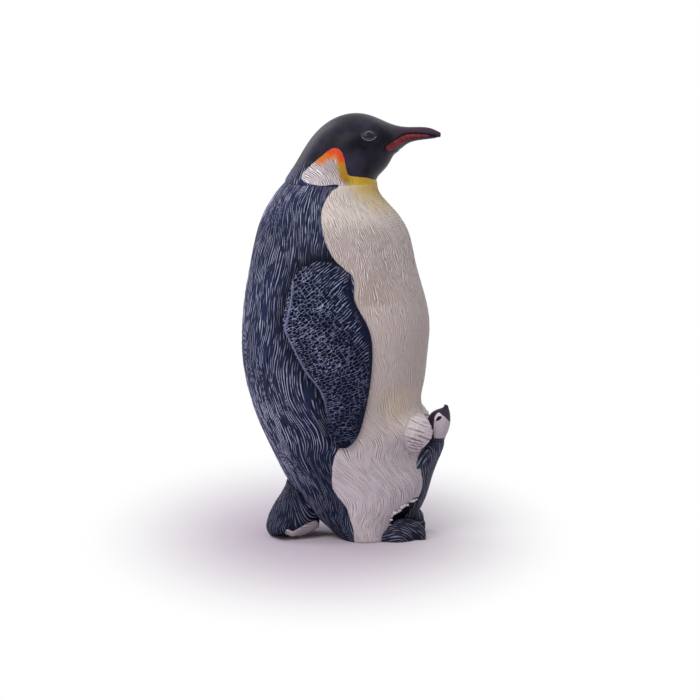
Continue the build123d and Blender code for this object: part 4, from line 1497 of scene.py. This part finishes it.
def flipper(name, node, side):
    """One flipper; side is -1 for the right one and 1 for the left one."""
    piece, spots, bead, outer = flipper_shape(name, node, side)
    flat = spots[:, (0, 2)]
    front = line_distance(flat, flowing(photo_line(FRONT_EDGE, near_blade)))
    turn = mixed(eased(spots[:, 2], *ROW_LEVELS), *ROW_TURNS)
    x, z = (flat - ROW_MIDDLE).T
    along, across = x * np.cos(turn) + z * np.sin(turn), z * np.cos(turn) - x * np.sin(turn)
    aside = np.full(len(spots), SIDE_SHIFT * side * FLIPPER_STROKE[0])
    stroked = eased(spots[:, 0] + STROKED_SLOPE * z, *STROKED)
    # On a flipper worn only sets how much it is brushed: less, so darker, towards the bottom.
    marked(piece.data, combed(along, across, aside, FLIPPER_STROKE),
           FLIPPER_LIFT * outer * eased(front, *LIFT_FADE) * (1 - bead), mixed(stroked, *NET_SHARES),
           bead=bead * outer, plain=1 - eased(front, *PLAIN_EDGE),
           worn=mixed(eased(spots[:, 2], *BRUSHING_LEVELS), *BRUSHING_SHARES))
    return piece


print("rows turn by", [round(math.degrees(t)) for t in ROW_TURNS], "degrees")

# %% [markdown]
# The flippers are painted as the back is, only darker, and plain along the front edge,
# where the brush did not reach. The bead is grey, because the brush caught it all along.
# Each blade could have a paint of its own. But what differs between them is already on
# their vertices, so one paint serves both.

# %% Mix the flipper paint and finish both
FLIPPER_ROUGHNESS, FLIPPER_SPECULAR, FLIPPER_BUMP, FLIPPER_SEED = 0.46, 0.04, 0.4, 7.0
FLIPPER_PIT, FLIPPER_NAVY, FLIPPER_NET = tone(3, 5, 14), tone(19, 25, 47), tone(150, 158, 192)
FLIPPER_COVER = (0.35, 0.65)
BEAD_GREY = tone(116, 121, 152)


def flipper_paint():
    """Navy, brushed over the net, with a plain front edge and a grey bead."""
    material, tree, shader = new_paint("flipper_paint", FLIPPER_ROUGHNESS, FLIPPER_SPECULAR)
    ridge = pattern(tree, own(tree, "grain", "Vector"), own(tree, "net"), FLIPPER_SEED)
    netted = dry_brushed(
        tree, ridge, FLIPPER_PIT, FLIPPER_NAVY, FLIPPER_NET, FLIPPER_COVER, own(tree, "worn"))
    edged = blend(tree, own(tree, "plain"), netted, FLIPPER_NAVY)
    lay_on(tree, shader, blend(tree, own(tree, "bead"), edged, BEAD_GREY), ridge, FLIPPER_BUMP)
    return material


flipper_finish = flipper_paint()
for node, side in (("right_flipper", -1), ("left_flipper", 1)):
    blade = flipper("painted_" + node, node, side)
    carve(blade, flipper_finish, FLIPPER_SEED)
    hand_in(blade, "flipper_paint", node)

# %% [markdown]
# ## The tail
# The tail is a short stiff fan that the bird leans on. Underneath it is white, and a sliver
# of that shows below its near edge. The solid's edge rests on the floor and would hide it.
# So the rim is lifted at both sides and a low keel is let down in the middle, which still
# carries the bird. Its strokes spread from the narrow root, so their grain is counted round
# the root and away from it.

# %% Shape and grain of the tail
TAIL_VOXEL = 0.2 * MM
UNDERSIDE = (0.1, 0.45)
RIM_RISE, RIM_SIDES = 1.5 * MM, (1 * MM, 8.5 * MM)
RIM_LEVELS, RIM_REACH = (0, 5 * MM), (-12.5 * MM, -11 * MM)
KEEL_DROP, KEEL_SIDES, KEEL_REACH = 1.4 * MM, (2 * MM, 8 * MM), (-11.5 * MM, -9.5 * MM)
TAIL_ROOT, TAIL_FAN, TAIL_STROKE = (287, 462), 12 * MM, (3.0 * MM, 0.56 * MM)
TAIL_LIFT, TAIL_FADE = 0.26 * MM, (0, 0.8 * MM)
PLEAT_REACH = (-13.5 * MM, -12 * MM)


def facing_down(mesh):
    """1 where a skin faces the floor and 0 where it does not."""
    return eased(-outwards(mesh)[:, 2], *UNDERSIDE)


tail = remeshed("painted_tail", "tail", TAIL_VOXEL)
tail_spots = places(tail.data)
tail_x, tail_wide = tail_spots[:, 0], np.abs(tail_spots[:, 1])
rim = eased(tail_wide, *RIM_SIDES) * (1 - eased(tail_spots[:, 2], *RIM_LEVELS))
rim = rim * (1 - eased(tail_x, *RIM_REACH))
keel = facing_down(tail.data) * (1 - eased(tail_wide, *KEEL_SIDES)) * eased(tail_x, *KEEL_REACH)
tail_spots[:, 2] = np.maximum(tail_spots[:, 2] + RIM_RISE * rim - KEEL_DROP * keel, 0)
move(tail.data, tail_spots)
from_root = tail_spots - np.array(photo_spot(*TAIL_ROOT, trunk_tree)) * (1, 0, 1)
tail_turn = np.arctan2(from_root[:, 0], -from_root[:, 2])
tail_side = np.abs(np.arctan2(from_root[:, 1], -from_root[:, 2]))
tail_grain = combed(
    np.linalg.norm(from_root, axis=1), (tail_turn + tail_side) * TAIL_FAN, tail_spots[:, 1], TAIL_STROKE)
marked(tail.data, tail_grain, TAIL_LIFT * eased(tail_spots[:, 2], *TAIL_FADE),
       under=facing_down(tail.data) * eased(tail_x, *PLEAT_REACH))
print(f"tail rim lifted by up to {RIM_RISE * rim.max() / MM:.1f} mm")

# %% [markdown]
# The tail is a darker navy than the back and brushed less, and pleated white underneath.
# The border between them follows the way the skin faces. A line read off the photograph
# would only fit the near side.

# %% Mix the tail paint
TAIL_ROUGHNESS, TAIL_SPECULAR, TAIL_BUMP, TAIL_SEED = 0.5, 0.04, 0.45, 11.0
TAIL_NAVY, TAIL_BRUSHING, TAIL_COVER = tone(19, 24, 45), 0.45, (0.4, 0.8)
PLEAT_WHITE, PLEAT_SHADE, PLEAT_SPAN = tone(214, 206, 208), tone(150, 140, 146), (0.0, 0.6)
UNDER_SPAN = (0.3, 0.7)


def tail_paint():
    """Brushed navy above and pleated white below."""
    material, tree, shader = new_paint("tail_paint", TAIL_ROUGHNESS, TAIL_SPECULAR)
    ridge = carved_strokes(tree, TAIL_SEED)
    upper = dry_brushed(tree, ridge, NAVY_GROOVE, TAIL_NAVY, NAVY_BRUSHED, TAIL_COVER, TAIL_BRUSHING)
    lower = blend(tree, span(tree, ridge, *PLEAT_SPAN), PLEAT_SHADE, PLEAT_WHITE)
    colour = blend(tree, span(tree, own(tree, "under"), *UNDER_SPAN), upper, lower)
    lay_on(tree, shader, colour, ridge, TAIL_BUMP)
    return material


carve(tail, tail_paint(), TAIL_SEED)
hand_in(tail, "tail_paint", "tail")

# %% [markdown]
# ## The feet
# Broad black feet with three toes each. Strokes run forward over the toes, bend down at
# their tips and are brushed lighter, which is what makes the toes readable in the shade
# under the skirt. The bend could come from the toe's own surface. A parabola in side view
# is close enough at this size.

# %% Foot skin and paint
FOOT_VOXEL = 0.15 * MM
FOOT_STROKE, FOOT_LIFT, FOOT_FADE = (2.0 * MM, 0.7 * MM), 0.16 * MM, (0.1 * MM, 0.8 * MM)
TOE_START, TOE_BEND = 11.5 * MM, 90
FOOT_ROUGHNESS, FOOT_SPECULAR, FOOT_BUMP, FOOT_SEED = 0.42, 0.06, 0.4, 13.0
FOOT_PIT, FOOT_BLACK, FOOT_BRUSHED = tone(12, 13, 22), tone(36, 38, 54), tone(140, 142, 165)
FOOT_COVER, FOOT_WORN = (0.35, 0.7), 0.65


def foot(name, node):
    """One foot, with strokes that run forward along the toes and bend down at their tips."""
    piece = remeshed(name, node, FOOT_VOXEL)
    x, y, z = places(piece.data).T
    sunk = z + TOE_BEND * np.clip(x - TOE_START, 0, None) ** 2
    marked(piece.data, combed(x, sunk - np.abs(y), y, FOOT_STROKE), FOOT_LIFT * eased(z, *FOOT_FADE))
    return piece


def foot_paint():
    """Black, brushed with grey."""
    material, tree, shader = new_paint("foot_paint", FOOT_ROUGHNESS, FOOT_SPECULAR)
    ridge = carved_strokes(tree, FOOT_SEED)
    skin = dry_brushed(tree, ridge, FOOT_PIT, FOOT_BLACK, FOOT_BRUSHED, FOOT_COVER, FOOT_WORN)
    lay_on(tree, shader, skin, ridge, FOOT_BUMP)
    return material


foot_finish = foot_paint()
for node in ("right_foot", "left_foot"):
    toes = foot("painted_" + node, node)
    carve(toes, foot_finish, FOOT_SEED)
    hand_in(toes, "foot_paint", node)

# %% [markdown]
# ## The chick
# The chick stands on its parent's feet, half under the fold of the belly. Its body is slate
# grey and scored lengthwise, as the feet are scored. Fur made of hairs would suit a real
# chick, but the casting only has strokes.

# %% Chick body
CHICK_VOXEL = 0.13 * MM
CHICK_STROKE, CHICK_LIFT = (4.0 * MM, 0.62 * MM), 0.16 * MM
CHICK_ROUGHNESS, CHICK_SPECULAR, CHICK_BUMP, CHICK_SEED = 0.5, 0.06, 0.4, 17.0
CHICK_PIT, CHICK_SLATE, CHICK_BRUSHED = tone(20, 21, 31), tone(58, 62, 78), tone(136, 140, 160)
CHICK_COVER = (0.3, 0.6)


def chick_paint():
    """Slate grey, brushed lighter."""
    material, tree, shader = new_paint("chick_paint", CHICK_ROUGHNESS, CHICK_SPECULAR)
    ridge = carved_strokes(tree, CHICK_SEED)
    down = dry_brushed(tree, ridge, CHICK_PIT, CHICK_SLATE, CHICK_BRUSHED, CHICK_COVER)
    lay_on(tree, shader, down, ridge, CHICK_BUMP)
    return material


chick = remeshed("painted_chick_body", "chick_body", CHICK_VOXEL)
x, y, z = places(chick.data).T
marked(chick.data, combed(z, x - np.abs(y), y, CHICK_STROKE), CHICK_LIFT)
chick_finish = chick_paint()
carve(chick, chick_finish, CHICK_SEED)
hand_in(chick, "chick_paint", "chick_body")

# %% [markdown]
# The chick's flippers lie along its sides, their tips on the parent's skirt. Each is a
# small flat lobe. It could be pulled out of the body's skin, but a ball stretched between
# two spots, its shoulder on the chick and its tip on the trunk, is easier to place.

# %% Chick flippers
LOBE_SHOULDER, LOBE_TIP = (427.5, 449), (416.8, 466.5)
LOBE_HALF_WIDTH, LOBE_HALF_THICKNESS = 1.25 * MM, 0.9 * MM
LOBE_OVERHANG, LOBE_RISE = 1.15, 0.45 * MM
LOBE_STROKE = (3.0 * MM, 0.7 * MM)
LOBE_SEGMENTS = (40, 24)


def chick_flipper(name, side):
    """One lobe; side is -1 for the right one and 1 for the left one."""
    shoulder = photo_spot(*LOBE_SHOULDER, TREES["chick_body"])
    tip = photo_spot(*LOBE_TIP, trunk_tree)
    down = (tip - shoulder).normalized()
    forward = Vector((0, -1, 0)).cross(down).normalized()
    half = LOBE_OVERHANG * (tip - shoulder).length / 2
    axes = np.array([forward * LOBE_HALF_WIDTH, down.cross(forward) * LOBE_HALF_THICKNESS, down * half])
    ball = bmesh.new()
    bmesh.ops.create_uvsphere(ball, u_segments=LOBE_SEGMENTS[0], v_segments=LOBE_SEGMENTS[1], radius=1)
    mesh = bpy.data.meshes.new(name)
    ball.to_mesh(mesh)
    unit = places(mesh)
    centre = np.array((shoulder + tip) / 2) - (0, LOBE_RISE, 0)
    move(mesh, (centre + unit @ axes) * (1, -side, 1))
    x, y, z = unit.T
    marked(mesh, combed(z * half, x * LOBE_HALF_WIDTH, y * half, LOBE_STROKE), CHICK_LIFT)
    skin = bmesh.new()
    skin.from_mesh(mesh)
    bmesh.ops.recalc_face_normals(skin, faces=skin.faces)
    skin.to_mesh(mesh)
    return new_piece(name, mesh)


for name, side in (("chick_right_flipper", -1), ("chick_left_flipper", 1)):
    lobe = chick_flipper(name, side)
    carve(lobe, chick_finish, CHICK_SEED)
    hand_in(lobe, "chick_paint")

# %% [markdown]
# The chick's head looks up: a dark cap with the bill, a light grey face, and a slanting
# black eye with a white wedge over it. At five millimetres the face could be a decal. Its
# outlines are marks on the skin like all the others, so that they stay sharp close up, and
# the eye is raised a little as well.

# %% Marks on the chick's head
FACE_OUTLINE = (
    (434.5, 418), (437, 413.5), (439.5, 412.6), (445, 417), (450.5, 422), (456, 425), (456, 438), (434, 438),
    (433.4, 430))
CHICK_EYE = ((435.8, 420.4), (438, 416.6), (441, 416.4), (441.6, 417.8), (439.4, 420), (437, 421))
CHICK_WEDGE = ((434.5, 418), (437, 413.5), (439.5, 412.6), (441, 415.4), (438, 416.4), (435.4, 419.8))
CHICK_EYE_RISE, CHICK_EYE_EDGE = 0.12 * MM, (-0.1 * MM, 0.3 * MM)
CHICK_HEAD_STROKE, CHICK_HEAD_LIFT = 0.6 * MM, 0.03 * MM
NECK_LEVELS = (20 * MM, 21 * MM)

chick_tree = TREES["chick_head"]
chick_head = remeshed("painted_chick_head", "chick_head", CHICK_VOXEL)
chick_spots = places(chick_head.data)
chick_side = chick_spots[:, (0, 2)]
chick_eye = within(chick_side, CHICK_EYE, chick_tree)
eye_lift = CHICK_EYE_RISE * eased(chick_eye, *CHICK_EYE_EDGE)
move(chick_head.data, chick_spots + outwards(chick_head.data) * eye_lift[:, None])
marked(chick_head.data, chick_spots / CHICK_HEAD_STROKE, CHICK_HEAD_LIFT, eye=chick_eye / MM,
       face=inside_distance(chick_side, photo_line(FACE_OUTLINE, chick_tree)) / MM,
       wedge=within(chick_side, CHICK_WEDGE, chick_tree) / MM,
       neck=1 - eased(chick_spots[:, 2], *NECK_LEVELS))
print(f"the chick's eye covers {np.mean(chick_eye > 0):.1%} of its head")

# %% [markdown]
# Flat colours lie over each other here, each inside its own border, as a steady hand with
# a fine brush lays them on. Dry brushing would go with the body, but at this size it would
# only leave specks.

# %% Mix the chick's head paint
CHICK_HEAD_ROUGHNESS, CHICK_HEAD_SPECULAR, CHICK_HEAD_BUMP = 0.45, 0.12, 0.15
CHICK_CAP = tone(54, 46, 63)
CHICK_MARKS = (
    ("face", tone(186, 177, 183), 0.05), ("wedge", tone(228, 221, 226), 0.05), ("eye", tone(8, 7, 10), 0.04))


def chick_head_paint():
    """A dark cap, and the face, its wedge and its eye over it."""
    material, tree, shader = new_paint("chick_head_paint", CHICK_HEAD_ROUGHNESS, CHICK_HEAD_SPECULAR)
    coat = blend(tree, own(tree, "neck"), CHICK_CAP, CHICK_SLATE)
    for name, colour, soft in CHICK_MARKS:
        coat = blend(tree, side_of(tree, own(tree, name), soft), coat, colour)
    lay_on(tree, shader, coat, carved_strokes(tree, CHICK_SEED), CHICK_HEAD_BUMP)
    return material


carve(chick_head, chick_head_paint(), CHICK_SEED)
hand_in(chick_head, "chick_head_paint", "chick_head")
